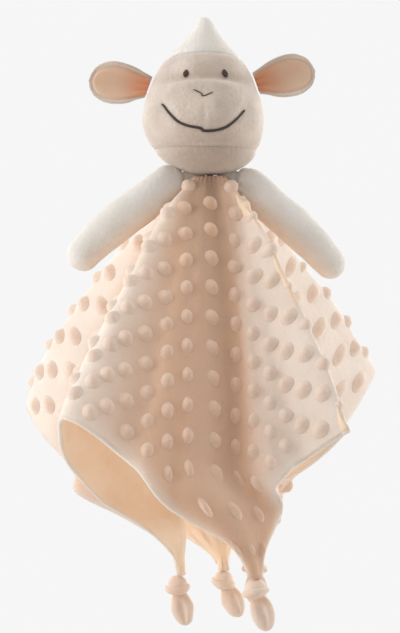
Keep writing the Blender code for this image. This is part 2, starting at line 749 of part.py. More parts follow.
def arm_line(arm):
    """Shoulder, bend and wrist of an arm, as the three points of its curve."""
    out = heading(arm["azimuth"])
    down = Vector((0.0, 0.0, -1.0))
    shoulder = blanket_top() + out * arm["shoulder"] + down * SHOULDER_DROP
    return (shoulder, shoulder + out * ARM_BEND_REACH + down * ARM_BEND_DROP,
            shoulder + out * arm["reach"] + down * arm["drop"])


def arm_rings(arm, inset, open_shoulder):
    """Middle, direction and radius of each ring of an arm, from the shoulder to the end of the hand."""
    shoulder, bend, wrist = arm_line(arm)
    first = (bend - shoulder).normalized()
    last = (wrist - bend).normalized()
    small = SHOULDER_RADIUS - inset
    rings = []
    for polar in ((SHOULDER_OPENING_DEG, 60.0) if open_shoulder else (0.0, 30.0, 60.0)):
        angle = math.radians(polar)
        rings.append((shoulder - first * small * math.cos(angle), first, small * math.sin(angle)))
    for share, _ in ARM_RADIUS_SHARES:
        middle = (shoulder * (1.0 - share) ** 2 + bend * 2.0 * share * (1.0 - share) + wrist * share ** 2)
        along = ((bend - shoulder) * (1.0 - share) + (wrist - bend) * share).normalized()
        full = ARM_RADIUS * read_shares(ARM_RADIUS_SHARES, share)
        fullness = 1.0 + (arm["fullness"] - 1.0) * smooth(share / ARM_FULL_SHARE)
        rings.append((middle, along, full * fullness - inset))
    hand = rings[-1][2]
    for polar in (60.0, 30.0, 0.0):
        angle = math.radians(polar)
        rings.append((wrist + last * hand * math.cos(angle), last, hand * math.sin(angle)))
    return rings


def arm_mesh(name, arm, inset, open_shoulder, columns):
    rings = arm_rings(arm, inset, open_shoulder)
    aside = Vector((0.0, 0.0, 1.0)).cross(heading(arm["azimuth"]))

    def point_of(column, row):
        middle, along, radius = rings[row]
        upward = along.cross(aside)
        angle = 2.0 * math.pi * (column % columns) / columns
        return middle + (aside * math.cos(angle) + upward * math.sin(angle)) * radius

    centre = rings[len(rings) // 2][0]
    return mapped_grid(name, columns, len(rings) - 1, point_of, lambda middle: middle - centre)


def make_arm(word, arm):
    shell = arm_mesh(f"arm_{word}_sleeve", arm, 0.0, True, 14)
    thicken(add_object(f"arm_{word}_sleeve", shell, "white_plush"), ARM_WALL)
    fill = arm_mesh(f"arm_{word}_stuffing", arm, ARM_WALL + FILL_CLEARANCE, False, 14)
    add_object(f"arm_{word}_stuffing", fill, "polyester_fill")


make_head()
make_embroidery()
make_ear(-1, "left")
make_ear(1, "right")
make_neck_thread()
make_blanket()
for corner_name in CORNER_SHARES:
    make_knot(corner_name)
make_arm("left", LEFT_ARM)
make_arm("right", RIGHT_ARM)
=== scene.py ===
# %% [markdown]
# # A comfort blanket with a lamb's head
# A square of dotted plush hangs from its middle under a small stuffed lamb's head. Each corner is tied in
# a knot, two stuffed arms are sewn in at the neck, and two ears at the sides of the head.
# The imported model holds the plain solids. This lesson dresses them in fine cloth, piece by piece, in the
# same frame: metres, +Z up, the tip of the crown at the origin, and the face looking along -Y.

import math

import bmesh
import bpy
import numpy as np
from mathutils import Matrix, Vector, noise


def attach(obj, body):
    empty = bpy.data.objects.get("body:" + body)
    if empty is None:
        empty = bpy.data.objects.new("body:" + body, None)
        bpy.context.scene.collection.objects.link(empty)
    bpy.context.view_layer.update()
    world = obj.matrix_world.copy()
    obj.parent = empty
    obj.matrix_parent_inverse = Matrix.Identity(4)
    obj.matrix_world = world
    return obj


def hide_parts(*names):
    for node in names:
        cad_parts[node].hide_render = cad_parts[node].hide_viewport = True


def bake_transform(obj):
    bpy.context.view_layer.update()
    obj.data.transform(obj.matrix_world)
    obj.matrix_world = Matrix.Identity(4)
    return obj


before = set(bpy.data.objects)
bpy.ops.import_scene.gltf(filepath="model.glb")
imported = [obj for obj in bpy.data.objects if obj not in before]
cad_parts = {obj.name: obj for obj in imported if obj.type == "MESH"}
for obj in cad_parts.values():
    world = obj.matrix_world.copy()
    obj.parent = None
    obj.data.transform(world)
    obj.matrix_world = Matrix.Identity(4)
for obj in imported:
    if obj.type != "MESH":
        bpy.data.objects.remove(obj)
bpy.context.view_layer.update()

# %% [markdown]
# ## The studio
# The toy hangs in front of a white sweep. One pixel of the picture is 0.6 mm at the toy, and the camera
# looks level at it from 1.4 m. A sweep that is lit from behind shows no horizon, so the floor and the
# backdrop give the camera the same pale tone, and give the toy a softer light.

# %% Camera
PICTURE_HEIGHT = 633     # pixels
PIXEL = 0.0006
VIEW_DISTANCE = 1.4
AIM = Vector((-0.003, 0.0, -0.1797))

camera_data = bpy.data.cameras.new("front_camera")
camera_data.sensor_fit = "VERTICAL"
camera_data.angle = 2.0 * math.atan(PICTURE_HEIGHT / 2.0 * PIXEL / VIEW_DISTANCE)
camera = bpy.data.objects.new("front_camera", camera_data)
camera.location = AIM - Vector((0.0, VIEW_DISTANCE, 0.0))
camera.rotation_euler = (math.pi / 2.0, 0.0, 0.0)
bpy.context.scene.collection.objects.link(camera)
bpy.context.scene.camera = camera
bpy.context.scene.view_settings.view_transform = "Standard"
print("height of view in degrees:", round(math.degrees(camera_data.angle), 2))

# %% Sweep: pale for the eye, softer as a light
PALE = 0.921
SWEEP_LIGHT = (0.50, 0.47, 0.45, 1.0)
FLOOR_DROP = 0.40


def seen_by_camera(nodes, links, pale, soft):
    """Mixes two shaders, so that the camera sees one and the toy is lit by the other."""
    mix = nodes.new("ShaderNodeMixShader")
    ray = nodes.new("ShaderNodeLightPath")
    links.new(ray.outputs["Is Camera Ray"], mix.inputs[0])
    links.new(soft, mix.inputs[1])
    links.new(pale, mix.inputs[2])
    return mix.outputs[0]


world = bpy.data.worlds.new("white_sweep")
bpy.context.scene.world = world
world.use_nodes = True
sky_nodes, sky_links = world.node_tree.nodes, world.node_tree.links
sky_nodes.clear()
pale_sky = sky_nodes.new("ShaderNodeBackground")
pale_sky.inputs["Color"].default_value = (PALE, PALE, PALE, 1.0)
soft_sky = sky_nodes.new("ShaderNodeBackground")
soft_sky.inputs["Color"].default_value = SWEEP_LIGHT
sky_out = sky_nodes.new("ShaderNodeOutputWorld")
sky_links.new(seen_by_camera(sky_nodes, sky_links, pale_sky.outputs[0], soft_sky.outputs[0]),
              sky_out.inputs["Surface"])

floor_mesh = bpy.data.meshes.new("floor")
floor_work = bmesh.new()
bmesh.ops.create_circle(floor_work, cap_ends=True, segments=64, radius=8.0)
floor_work.to_mesh(floor_mesh)
floor_work.free()
floor = bpy.data.objects.new("floor", floor_mesh)
floor.location = (0.0, 0.0, -FLOOR_DROP)
bpy.context.scene.collection.objects.link(floor)
floor_finish = bpy.data.materials.new("pale_floor")
floor_finish.use_nodes = True
floor_nodes, floor_links = floor_finish.node_tree.nodes, floor_finish.node_tree.links
floor_soft = floor_nodes["Principled BSDF"]
floor_soft.inputs["Base Color"].default_value = (0.78, 0.77, 0.76, 1.0)
floor_soft.inputs["Roughness"].default_value = 0.8
floor_pale = floor_nodes.new("ShaderNodeEmission")
floor_pale.inputs["Color"].default_value = (PALE, PALE, PALE, 1.0)
floor_links.new(seen_by_camera(floor_nodes, floor_links, floor_pale.outputs[0], floor_soft.outputs[0]),
                floor_nodes["Material Output"].inputs["Surface"])
floor.data.materials.append(floor_finish)
print("floor", FLOOR_DROP, "m below the crown")

# %% [markdown]
# ## Soft boxes
# The picture is lit from both sides and from behind: the ridges of the cloth are nearly white and the
# middle is darker and warmer. Two large soft boxes stand at the sides, so that each flank of a fold is lit
# by the box across from it, two stand behind for the pale edges, and a weak one above fills the front.

# %% Soft boxes


def heading(azimuth_deg):
    """The level unit vector at an azimuth from the front."""
    angle = math.radians(azimuth_deg)
    return Vector((math.sin(angle), -math.cos(angle), 0.0))


def soft_box(name, azimuth_deg, distance, height, width, tall, watts, colour):
    data = bpy.data.lights.new(name, "AREA")
    data.shape = "RECTANGLE"
    data.size = width
    data.size_y = tall
    data.energy = watts
    data.color = colour
    box = bpy.data.objects.new(name, data)
    box.location = AIM + heading(azimuth_deg) * distance + Vector((0.0, 0.0, height))
    box.rotation_euler = (AIM - box.location).to_track_quat("-Z", "Y").to_euler()
    bpy.context.scene.collection.objects.link(box)
    return box


SOFT_BOXES = (     # name, azimuth, distance, height, width, tall, watts, colour
    ("box_left", -75.0, 1.3, 0.30, 0.9, 1.1, 9.6, (1.0, 0.985, 0.97)),
    ("box_right", 100.0, 1.3, 0.30, 0.9, 1.1, 7.2, (1.0, 0.985, 0.96)),
    ("box_behind_left", -140.0, 1.4, 0.35, 0.8, 1.0, 5.5, (1.0, 0.98, 0.95)),
    ("box_behind_right", 140.0, 1.4, 0.35, 0.8, 1.0, 7.5, (1.0, 0.98, 0.95)),
    ("box_top", 0.0, 0.4, 1.20, 0.9, 1.1, 3.0, (1.0, 0.99, 0.97)),
)
for box_row in SOFT_BOXES:
    soft_box(*box_row)

# %% [markdown]
# ## Helpers for mesh and finish
# Every cloth here starts as a grid laid on a surface, because a cut piece of cloth is a flat sheet before
# it is sewn. A grid keeps even faces, and it can carry where each point lay in the flat cloth.

# %% Grids


def smooth(value):
    """0 below 0, 1 above 1, and an even rise between."""
    inside = np.clip(value, 0.0, 1.0)
    return inside * inside * (3.0 - 2.0 * inside)


def bell(value, width):
    """1 at zero and falling evenly away from it."""
    return np.exp(-(value / width) ** 2)


def grid_mesh(name, places, closed_round=False, flip=False):
    """A mesh from rows of points, an array of rows x columns x 3, welded where points fall together."""
    rows, columns = places.shape[:2]
    mesh = bpy.data.meshes.new(name)
    index = np.arange(rows * columns).reshape(rows, columns)
    if closed_round:
        index = np.concatenate([index, index[:, :1]], axis=1)
    a, b, c, d = index[:-1, :-1], index[:-1, 1:], index[1:, 1:], index[1:, :-1]
    quads = np.stack([a, d, c, b] if flip else [a, b, c, d], axis=-1).reshape(-1, 4)
    mesh.from_pydata(places.reshape(-1, 3).tolist(), [], quads.tolist())
    work = bmesh.new()
    work.from_mesh(mesh)
    bmesh.ops.remove_doubles(work, verts=work.verts, dist=1e-6)
    bmesh.ops.dissolve_degenerate(work, edges=work.edges, dist=1e-6)
    work.to_mesh(mesh)
    work.free()
    mesh.shade_smooth()
    return mesh


def faces_outward(mesh, centre):
    """Turns the faces round if most of them look towards a point inside."""
    work = bmesh.new()
    work.from_mesh(mesh)
    work.normal_update()
    facing = sum((f.calc_center_median() - Vector(centre)).dot(f.normal) * f.calc_area() for f in work.faces)
    if facing < 0.0:
        bmesh.ops.reverse_faces(work, faces=work.faces)
    work.to_mesh(mesh)
    work.free()
    return mesh


def add_piece(name, mesh, finish, body, slot, *nodes):
    """Puts a finished mesh in the scene, riding on its body in place of its solids."""
    piece = bpy.data.objects.new(name, mesh)
    bpy.context.scene.collection.objects.link(piece)
    mesh.materials.clear()
    mesh.materials.append(finish)
    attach(piece, body)
    if nodes:
        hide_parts(*nodes)
    return piece


def store_on_points(mesh, **stored):
    """Stores one number or one vector for each point, under the names given."""
    for label, values in stored.items():
        values = np.asarray(values, np.float32)
        is_vector = values.size == 3 * len(mesh.vertices)
        data = mesh.attributes.new(label, "FLOAT_VECTOR" if is_vector else "FLOAT", "POINT").data
        data.foreach_set("vector" if is_vector else "value", values.ravel())
    return mesh


MOST_PAINTED_SHADE = 1.2     # the most painted shade on head, ears and knots


def store_painted_shade(mesh, shade_at):
    """Stores a painted shade on each point, from its place."""
    places = np.array([v.co for v in mesh.vertices])
    return store_on_points(mesh, fold_depth=np.clip(shade_at(places), 0.0, MOST_PAINTED_SHADE))


def cloth_wall(piece, wall, offset=-1.0):
    """Gives an open sheet its thickness, inwards from its face."""
    solid = piece.modifiers.new("wall", "SOLIDIFY")
    solid.thickness = wall
    solid.offset = offset
    solid.use_even_offset = False
    return piece


def lumps(places, size, depth, seed=0.0):
    """Soft unevenness of a stuffed or hanging cloth, one number for each point."""
    flat = places.reshape(-1, 3)
    shift = Vector((seed, seed * 0.7, -seed))
    values = [noise.noise(Vector(p) / size + shift) for p in flat]
    return np.array(values).reshape(places.shape[:-1]) * depth


def surface_normals(places, closed_round=False):
    """Unit normals of a grid of points, from the points beside each."""
    if closed_round:
        padded = np.concatenate([places[:, -1:], places, places[:, :1]], axis=1)
        across = padded[:, 2:] - padded[:, :-2]
    else:
        across = np.gradient(places, axis=1)
    down = np.gradient(places, axis=0)
    normal = np.cross(down, across)
    size = np.linalg.norm(normal, axis=-1, keepdims=True)
    return normal / np.maximum(size, 1e-12)


print("helpers ready")

# %% [markdown]
# ## Finishes
# All the cloths are short pile on a soft backing. Pile scatters light at grazing angles, so each finish
# has sheen, and a painted sheen turns its colour paler at its edges. Most of them have a little light under
# their surface, and the thin lining glows weakly in its own colour, for the daylight that comes through it.
# The pile itself is a fine bump, and slow noise shifts the colour a little, as brushed cloth does. Down in
# a fold the light has come off more cloth and is darker and warmer. Lamps alone show too little of that, so
# the cloth stores a painted shade for each point, and the finish mixes in a darker, warmer tone there.

# %% Finish helpers


def new_finish(name):
    finish = bpy.data.materials.new(name)
    finish.use_nodes = True
    nodes, links = finish.node_tree.nodes, finish.node_tree.links
    return finish, nodes, links, nodes["Principled BSDF"]


def object_noise(nodes, links, scale, detail=2.0, stretch=(1.0, 1.0, 1.0)):
    """Noise that is fixed to the piece itself."""
    place = nodes.new("ShaderNodeTexCoord")
    mapping = nodes.new("ShaderNodeMapping")
    mapping.inputs["Scale"].default_value = stretch
    cloud = nodes.new("ShaderNodeTexNoise")
    cloud.inputs["Scale"].default_value = scale
    cloud.inputs["Detail"].default_value = detail
    links.new(place.outputs["Object"], mapping.inputs["Vector"])
    links.new(mapping.outputs["Vector"], cloud.inputs["Vector"])
    return cloud.outputs["Fac"]


def mix_colours(nodes, links, factor, first, second, low=0.35, high=0.65):
    """Two tones of one cloth, mixed by a value."""
    ramp = nodes.new("ShaderNodeValToRGB")
    ramp.color_ramp.elements[0].position = low
    ramp.color_ramp.elements[0].color = (*first, 1.0)
    ramp.color_ramp.elements[1].position = high
    ramp.color_ramp.elements[1].color = (*second, 1.0)
    links.new(factor, ramp.inputs["Fac"])
    return ramp.outputs["Color"]


def bump_from(nodes, links, height, depth, strength=1.0, under=None):
    bump = nodes.new("ShaderNodeBump")
    bump.inputs["Strength"].default_value = strength
    bump.inputs["Distance"].default_value = depth
    links.new(height, bump.inputs["Height"])
    if under is not None:
        links.new(under, bump.inputs["Normal"])
    return bump.outputs["Normal"]


def worked_out(nodes, links, operation, *values, clamp=False):
    """One step of arithmetic on numbers or on the outputs of other nodes."""
    step = nodes.new("ShaderNodeMath")
    step.operation = operation
    step.use_clamp = clamp
    for socket, value in zip(step.inputs, values):
        if isinstance(value, (int, float)):
            socket.default_value = value
        else:
            links.new(value, socket)
    return step.outputs[0]


def dimples(nodes, links, pitch):
    """Soft bumps on a square lattice of the flat cloth, at so many pitches to its side."""
    flat = nodes.new("ShaderNodeUVMap")
    flat.uv_map = "flat_cloth"
    parts = nodes.new("ShaderNodeSeparateXYZ")
    links.new(flat.outputs[0], parts.inputs[0])
    waves = []
    for axis in ("X", "Y"):
        from_middle = worked_out(nodes, links, "SUBTRACT", parts.outputs[axis], 0.5)
        turned = worked_out(nodes, links, "MULTIPLY", from_middle, 2.0 * math.pi * pitch)
        waves.append(worked_out(nodes, links, "MULTIPLY_ADD",
                                worked_out(nodes, links, "COSINE", turned), 0.5, 0.5))
    return worked_out(nodes, links, "MULTIPLY", *waves)


CAUGHT_TONE = (0.93, 0.50, 0.23)      # light that is caught between two layers
PAINTED_SHEEN_TONE = (0.97, 0.95, 0.92)       # painted sheen: the pale colour of the pile seen along the cloth
DIMPLE_DEPTH = 0.0011


def deepest_painted_shade(tone):
    """The painted shade of the deepest folds, from that of an ordinary fold."""
    return tuple(0.55 * part ** 1.15 for part in tone)


def pile_finish(name, light, dark, pile_size, pile_depth, tuft_size, tuft_depth, sheen=0.35, glow=0.0,
                glow_depth=0.003, glow_tint=(1.0, 0.55, 0.35), rough=0.92, painted_sheen=0.35, deep=None,
                lit_through=0.0, dimple_pitch=0.0):
    """Short pile: fine bump over soft tufts, two close tones, and painted sheen that turns pale along the
    cloth.
    deep is the painted shade tone, where the stored painted shade is 1; past 1 the painted shade goes on
    getting darker.
    Where caught_light is stored, the cloth turns orange."""
    finish, nodes, links, shader = new_finish(name)
    tone = object_noise(nodes, links, 1.0 / (tuft_size * 6.0), 3.0)
    colour = mix_colours(nodes, links, tone, dark, light)
    if deep is not None:
        # painted shade: a darker, warmer tone is mixed in by the stored shade value, and darker still past 1
        stored = nodes.new("ShaderNodeAttribute")
        stored.attribute_name = "fold_depth"
        colour = blended(nodes, links, stored.outputs["Fac"], colour, deep)
        beyond = worked_out(nodes, links, "SUBTRACT", stored.outputs["Fac"], 1.0, clamp=True)
        colour = blended(nodes, links, beyond, colour, deepest_painted_shade(deep))
        caught = nodes.new("ShaderNodeAttribute")
        caught.attribute_name = "caught_light"
        colour = blended(nodes, links, caught.outputs["Fac"], colour, CAUGHT_TONE)
    # painted sheen: the colour turns pale where the cloth is seen at a grazing angle
    edge = nodes.new("ShaderNodeLayerWeight")
    edge.inputs["Blend"].default_value = 0.28
    painted_sheen_mix = worked_out(nodes, links, "MULTIPLY", edge.outputs["Facing"], painted_sheen)
    colour = blended(nodes, links, painted_sheen_mix, colour, PAINTED_SHEEN_TONE)
    links.new(colour, shader.inputs["Base Color"])
    tufts = bump_from(nodes, links, object_noise(nodes, links, 1.0 / tuft_size, 2.0), tuft_depth)
    if dimple_pitch > 0.0:
        tufts = bump_from(nodes, links, dimples(nodes, links, dimple_pitch), DIMPLE_DEPTH, under=tufts)
    pile = bump_from(nodes, links, object_noise(nodes, links, 1.0 / pile_size, 3.0), pile_depth, under=tufts)
    links.new(pile, shader.inputs["Normal"])
    shader.inputs["Roughness"].default_value = rough
    shader.inputs["Sheen Weight"].default_value = sheen
    shader.inputs["Sheen Roughness"].default_value = 0.35
    shader.inputs["Sheen Tint"].default_value = (1.0, 0.97, 0.93, 1.0)
    shader.inputs["Specular IOR Level"].default_value = 0.2
    if glow > 0.0:
        shader.inputs["Subsurface Weight"].default_value = glow
        shader.inputs["Subsurface Radius"].default_value = glow_tint
        shader.inputs["Subsurface Scale"].default_value = glow_depth
    if lit_through > 0.0:
        links.new(colour, shader.inputs["Emission Color"])
        shader.inputs["Emission Strength"].default_value = lit_through
    return finish


def blended(nodes, links, factor, first, second):
    """Colour first where the factor is 0 and second where it is 1."""
    mix = nodes.new("ShaderNodeMix")
    mix.data_type = "RGBA"
    links.new(factor, mix.inputs["Factor"])
    links.new(first, mix.inputs["A"])
    mix.inputs["B"].default_value = (*second, 1.0)
    return mix.outputs["Result"]


# %% Cloth finishes
# the third tone is the painted shade of the plush, mixed in down in its folds
MINKY_LIGHT, MINKY_DARK, MINKY_PAINTED_SHADE = (0.94, 0.85, 0.77), (0.90, 0.80, 0.71), (0.76, 0.51, 0.36)
CLOTH_PITCHES = 400.0 / 18.6     # the blanket's side over the pitch of its dots, both in mm
minky = pile_finish("peach_minky_pile", MINKY_LIGHT, MINKY_DARK, 0.0013, 0.00026, 0.0040, 0.00045,
                    sheen=0.35, glow=0.12, glow_depth=0.0015, glow_tint=(1.0, 0.6, 0.4), deep=MINKY_PAINTED_SHADE)
lining_cloth = pile_finish("peach_lining_knit", (0.92, 0.73, 0.55), (0.88, 0.68, 0.50), 0.0006, 0.00012,
                           0.004, 0.0003, sheen=0.2, lit_through=0.11, dimple_pitch=CLOTH_PITCHES)
# the velour's last tone is painted shade, under the cheeks and in the crease of the brow
velour = pile_finish("face_velour_pile", (0.75, 0.66, 0.58), (0.62, 0.53, 0.46), 0.0014, 0.00050,
                     0.0026, 0.00070, sheen=0.4, glow=0.12, glow_depth=0.002, painted_sheen=0.5,
                     deep=(0.47, 0.37, 0.29))
plush = pile_finish("white_plush_pile", (0.90, 0.87, 0.82), (0.84, 0.80, 0.74), 0.0014, 0.00040,
                    0.0032, 0.0006, sheen=0.4, glow=0.35, glow_depth=0.005, glow_tint=(1.0, 0.8, 0.62))
# the satin's last tone is painted shade, darker and warmer towards the pinched root of the ear
satin = pile_finish("ear_satin_weave", (0.90, 0.58, 0.43), (0.86, 0.52, 0.37), 0.0004, 0.00006,
                    0.003, 0.0002, sheen=0.3, glow=0.4, glow_depth=0.004, rough=0.6,
                    deep=(0.80, 0.30, 0.16))
fibre = pile_finish("white_fibre", (0.88, 0.88, 0.87), (0.80, 0.80, 0.79), 0.0012, 0.0005, 0.005, 0.001)
print("cloth finishes:", [m.name for m in (minky, lining_cloth, velour, plush, satin, fibre)])

# %% Thread finishes


def thread_finish(name, colour, shade, rough):
    """Twisted thread: fine strands and a slight shine."""
    finish, nodes, links, shader = new_finish(name)
    strands = object_noise(nodes, links, 2600.0, 2.0)
    links.new(mix_colours(nodes, links, strands, shade, colour), shader.inputs["Base Color"])
    links.new(bump_from(nodes, links, strands, 0.00012), shader.inputs["Normal"])
    shader.inputs["Roughness"].default_value = rough
    shader.inputs["Sheen Weight"].default_value = 0.2
    return finish


brown_thread = thread_finish("brown_embroidery_thread", (0.060, 0.036, 0.027), (0.030, 0.017, 0.013), 0.55)
# the sewing thread is tan rather than pale: painted shade, for the neck lies in shade under the chin
pale_thread = thread_finish("pale_sewing_thread", (0.56, 0.43, 0.34), (0.46, 0.34, 0.26), 0.7)

# %% [markdown]
# ## The shape of the head
# The head is a stuffed egg with a pointed crown. Its outline is a table of levels from the crown down to
# the neck, each with a half width, a front and a back reach and a sideways shift, joined by smooth curves.
# A table gives the same head as the solids, and any panel can be cut from it.

# %% Head levels
HEAD_HEIGHT, HEAD_HALF_WIDTH, HEAD_FRONT, HEAD_BACK = 0.0952, 0.0363, 0.0385, 0.0342
NECK_SHIFT = 0.003
NECK_OPENING = 0.003
HEAD_LEVEL_SHARES = np.array((
    (0.0, 0.0, 0.0, 0.0, 0.0), (0.017, 0.099, 0.088, 0.099, 0.0), (0.097, 0.229, 0.208, 0.234, 0.0),
    (0.172, 0.386, 0.353, 0.404, -0.10), (0.231, 0.540, 0.478, 0.556, -0.20),
    (0.300, 0.689, 0.587, 0.731, -0.30), (0.386, 0.815, 0.691, 0.863, -0.35),
    (0.461, 0.893, 0.842, 0.942, -0.40), (0.558, 0.975, 0.966, 0.994, -0.40),
    (0.660, 1.0, 1.0, 1.0, -0.40), (0.756, 0.953, 0.966, 0.947, -0.20), (0.843, 0.860, 0.857, 0.830, 0.10),
    (0.914, 0.716, 0.701, 0.673, 0.45), (0.968, 0.482, 0.481, 0.482, 0.75),
    (0.994, 0.248, 0.247, 0.263, 0.95),
    (1.0, NECK_OPENING / HEAD_HALF_WIDTH, NECK_OPENING / HEAD_FRONT, NECK_OPENING / HEAD_BACK, 1.0),
))
HEAD_SIZES = np.array((HEAD_HEIGHT, HEAD_HALF_WIDTH, HEAD_FRONT, HEAD_BACK, NECK_SHIFT))
NECK_LEVEL = float(len(HEAD_LEVEL_SHARES) - 1)


def head_level(level):
    """Depth, half width, front, back and shift at a level; level may be an array."""
    level = np.asarray(level, float)
    top = len(HEAD_LEVEL_SHARES) - 1
    start = np.clip(level.astype(int), 0, top - 1)
    across = (level - start)[..., None]
    first, second = HEAD_LEVEL_SHARES[start], HEAD_LEVEL_SHARES[start + 1]
    before = HEAD_LEVEL_SHARES[np.maximum(start - 1, 0)]
    after = HEAD_LEVEL_SHARES[np.minimum(start + 2, top)]
    square, cube = across ** 2, across ** 3
    shares = (first * (2 * cube - 3 * square + 1) + (second - before) / 2 * (cube - 2 * square + across)
              + second * (3 * square - 2 * cube) + (after - first) / 2 * (cube - square))
    return shares * HEAD_SIZES


def head_places(azimuth_deg, level):
    """Points of the head's surface at azimuths and levels, as arrays of one shape."""
    azimuth_deg, level = np.broadcast_arrays(np.asarray(azimuth_deg, float), np.asarray(level, float))
    rows = head_level(level)
    angle = np.radians(azimuth_deg)
    reach = np.where(np.cos(angle) > 0.0, rows[..., 2], rows[..., 3])
    return np.stack([rows[..., 4] + rows[..., 1] * np.sin(angle), -reach * np.cos(angle), -rows[..., 0]], -1)


def head_normals(azimuth_deg, level):
    around = head_places(azimuth_deg + 0.5, level) - head_places(azimuth_deg - 0.5, level)
    down = head_places(azimuth_deg, level + 0.02) - head_places(azimuth_deg, level - 0.02)
    normal = np.cross(down, around)
    return normal / np.maximum(np.linalg.norm(normal, axis=-1, keepdims=True), 1e-12)


LEVEL_STEPS = np.linspace(0.0, NECK_LEVEL, 1500)
DEPTH_STEPS = head_level(LEVEL_STEPS)[:, 0]


def level_at(depth):
    return np.interp(depth, DEPTH_STEPS, LEVEL_STEPS)


print("widest half width:", round(float(head_level(9.0)[1]) * 1000, 1), "mm")

# %% [markdown]
# ## The face's relief
# Velour over filling isn't an even egg. The brow folds in above the muzzle, the embroidery pulls dimples,
# the cheeks stand out at the ends of the smile, and a faint crease runs up from the middle of the mouth.
# Each is a small bell-shaped dip or swelling, which is how a sculptor would press them in.

# %% Relief of the face
EYE_DEPTH = 0.378 * HEAD_HEIGHT
EYE_XS = (-0.314 * HEAD_HALF_WIDTH, 0.328 * HEAD_HALF_WIDTH)
NOSE_LEFT_X, NOSE_DEPTH = -0.168 * HEAD_HALF_WIDTH, 0.496 * HEAD_HEIGHT
NOSE_WIDTH, NOSE_DROP = 0.275 * HEAD_HALF_WIDTH, 0.0326 * HEAD_HEIGHT
MOUTH_LEFT_X, MOUTH_DEPTH = -0.689 * HEAD_HALF_WIDTH, 0.580 * HEAD_HEIGHT
MOUTH_WIDTH, MOUTH_DROP = 1.317 * HEAD_HALF_WIDTH, 0.168 * HEAD_HEIGHT
NOSE_POINT_SHARES = ((0.0, 0.0), (0.36, 0.5), (0.52, 1.0), (1.0, 0.45))
MOUTH_POINT_SHARES = (
    (0.0, 0.0), (0.104, 0.4), (0.2, 0.67), (0.32, 0.82), (0.465, 0.91),
    (0.51, 1.0), (0.65, 0.98), (0.785, 0.85), (0.9, 0.58), (1.0, 0.25),
)
BROW_DEPTH = 0.0385
BROW_FOLD, BROW_LIP = 0.0013, 0.0011
EYE_PULL, NOSE_PULL, MOUTH_PULL = 0.0007, 0.0008, 0.0005
NOSE_X = NOSE_LEFT_X + NOSE_WIDTH * 0.5
NOSE_LOW = NOSE_DEPTH + NOSE_DROP
MOUTH_X = MOUTH_LEFT_X + MOUTH_WIDTH * 0.5
MOUTH_LOW = MOUTH_DEPTH + MOUTH_DROP


def mouth_line(x):
    """Depth of the smile at a sideways place."""
    shares = np.array(MOUTH_POINT_SHARES)
    return np.interp(x, MOUTH_LEFT_X + shares[:, 0] * MOUTH_WIDTH, MOUTH_DEPTH + shares[:, 1] * MOUTH_DROP)


def face_relief(x, depth):
    """How far the face stands out from the plain head, at sideways places and depths."""
    rise = np.zeros_like(x)
    brow = smooth((0.031 - np.abs(x)) / 0.014)
    sag = (x / 0.026) ** 2 * 0.0035
    rise -= BROW_FOLD * brow * bell(depth - BROW_DEPTH - sag, 0.0026)
    rise += BROW_LIP * brow * bell(depth - BROW_DEPTH - 0.0048 - sag, 0.0034)
    for eye_x in EYE_XS:
        rise -= EYE_PULL * bell(np.hypot(x - eye_x, depth - EYE_DEPTH), 0.0042)
    rise -= NOSE_PULL * bell(np.hypot(x - NOSE_X, depth - NOSE_LOW), 0.0050)
    inside = smooth((x - MOUTH_LEFT_X + 0.002) / 0.004)
    inside = inside * smooth((MOUTH_LEFT_X + MOUTH_WIDTH + 0.002 - x) / 0.004)
    rise -= MOUTH_PULL * inside * bell(depth - mouth_line(x), 0.0020)
    rise += 0.0006 * inside * bell(depth - mouth_line(x) + 0.0070, 0.0045)
    rise -= 0.0006 * bell(x - MOUTH_X - 0.0005, 0.0016) * smooth((depth - NOSE_LOW - 0.004) / 0.008) \
        * smooth((MOUTH_LOW - depth) / 0.004)
    for end, side in ((MOUTH_LEFT_X, -1.0), (MOUTH_LEFT_X + MOUTH_WIDTH, 1.0)):
        depth_end = MOUTH_DEPTH + (0.0 if side < 0 else 0.25 * MOUTH_DROP)
        rise -= 0.0006 * bell(np.hypot(x - end, depth - depth_end), 0.0035)
        rise += 0.0007 * bell(np.hypot(x - end - side * 0.005, depth - depth_end - 0.004), 0.0060)
    return rise


print("deepest point of the smile:", round(MOUTH_LOW * 1000, 1), "mm below the crown")

# %% [markdown]
# ## Head panels
# The crown is a cone of off-white plush, the face and the chin are beige velour and the back is two
# halves of plush. Each panel is its own cut cloth. Where two are sewn together both turn inwards, so every
# edge is tucked in along a soft valley and puckered a little by the thread.

# %% Head panels
CROWN_LEVEL, CROWN_BACK_DROP, CHIN_LEVEL = 4.0, 0.9, 11.0
FACE_EDGE_DEG = 92.0
PLUSH_WALL = 0.0018
SEAM_TUCK, SEAM_SOFT = 0.0011, 0.0024
PUCKER_PITCH, PUCKER_DEPTH = 0.0042, 0.00022
CHIN_PAINTED_SHADE, CHEEK_DEPTH, CHIN_FADE = 0.9, 0.058, 0.036     # painted shade under the cheeks, growing towards the chin
# painted shade along the crease of the brow
BROW_PAINTED_SHADE, BROW_SHADE_WIDE = 0.35, 0.003


def crown_seam(azimuth_deg):
    return CROWN_LEVEL + CROWN_BACK_DROP * (1.0 - np.cos(np.radians(azimuth_deg))) / 2.0


def level_seam(level):
    return lambda azimuth_deg: level + 0.0 * azimuth_deg


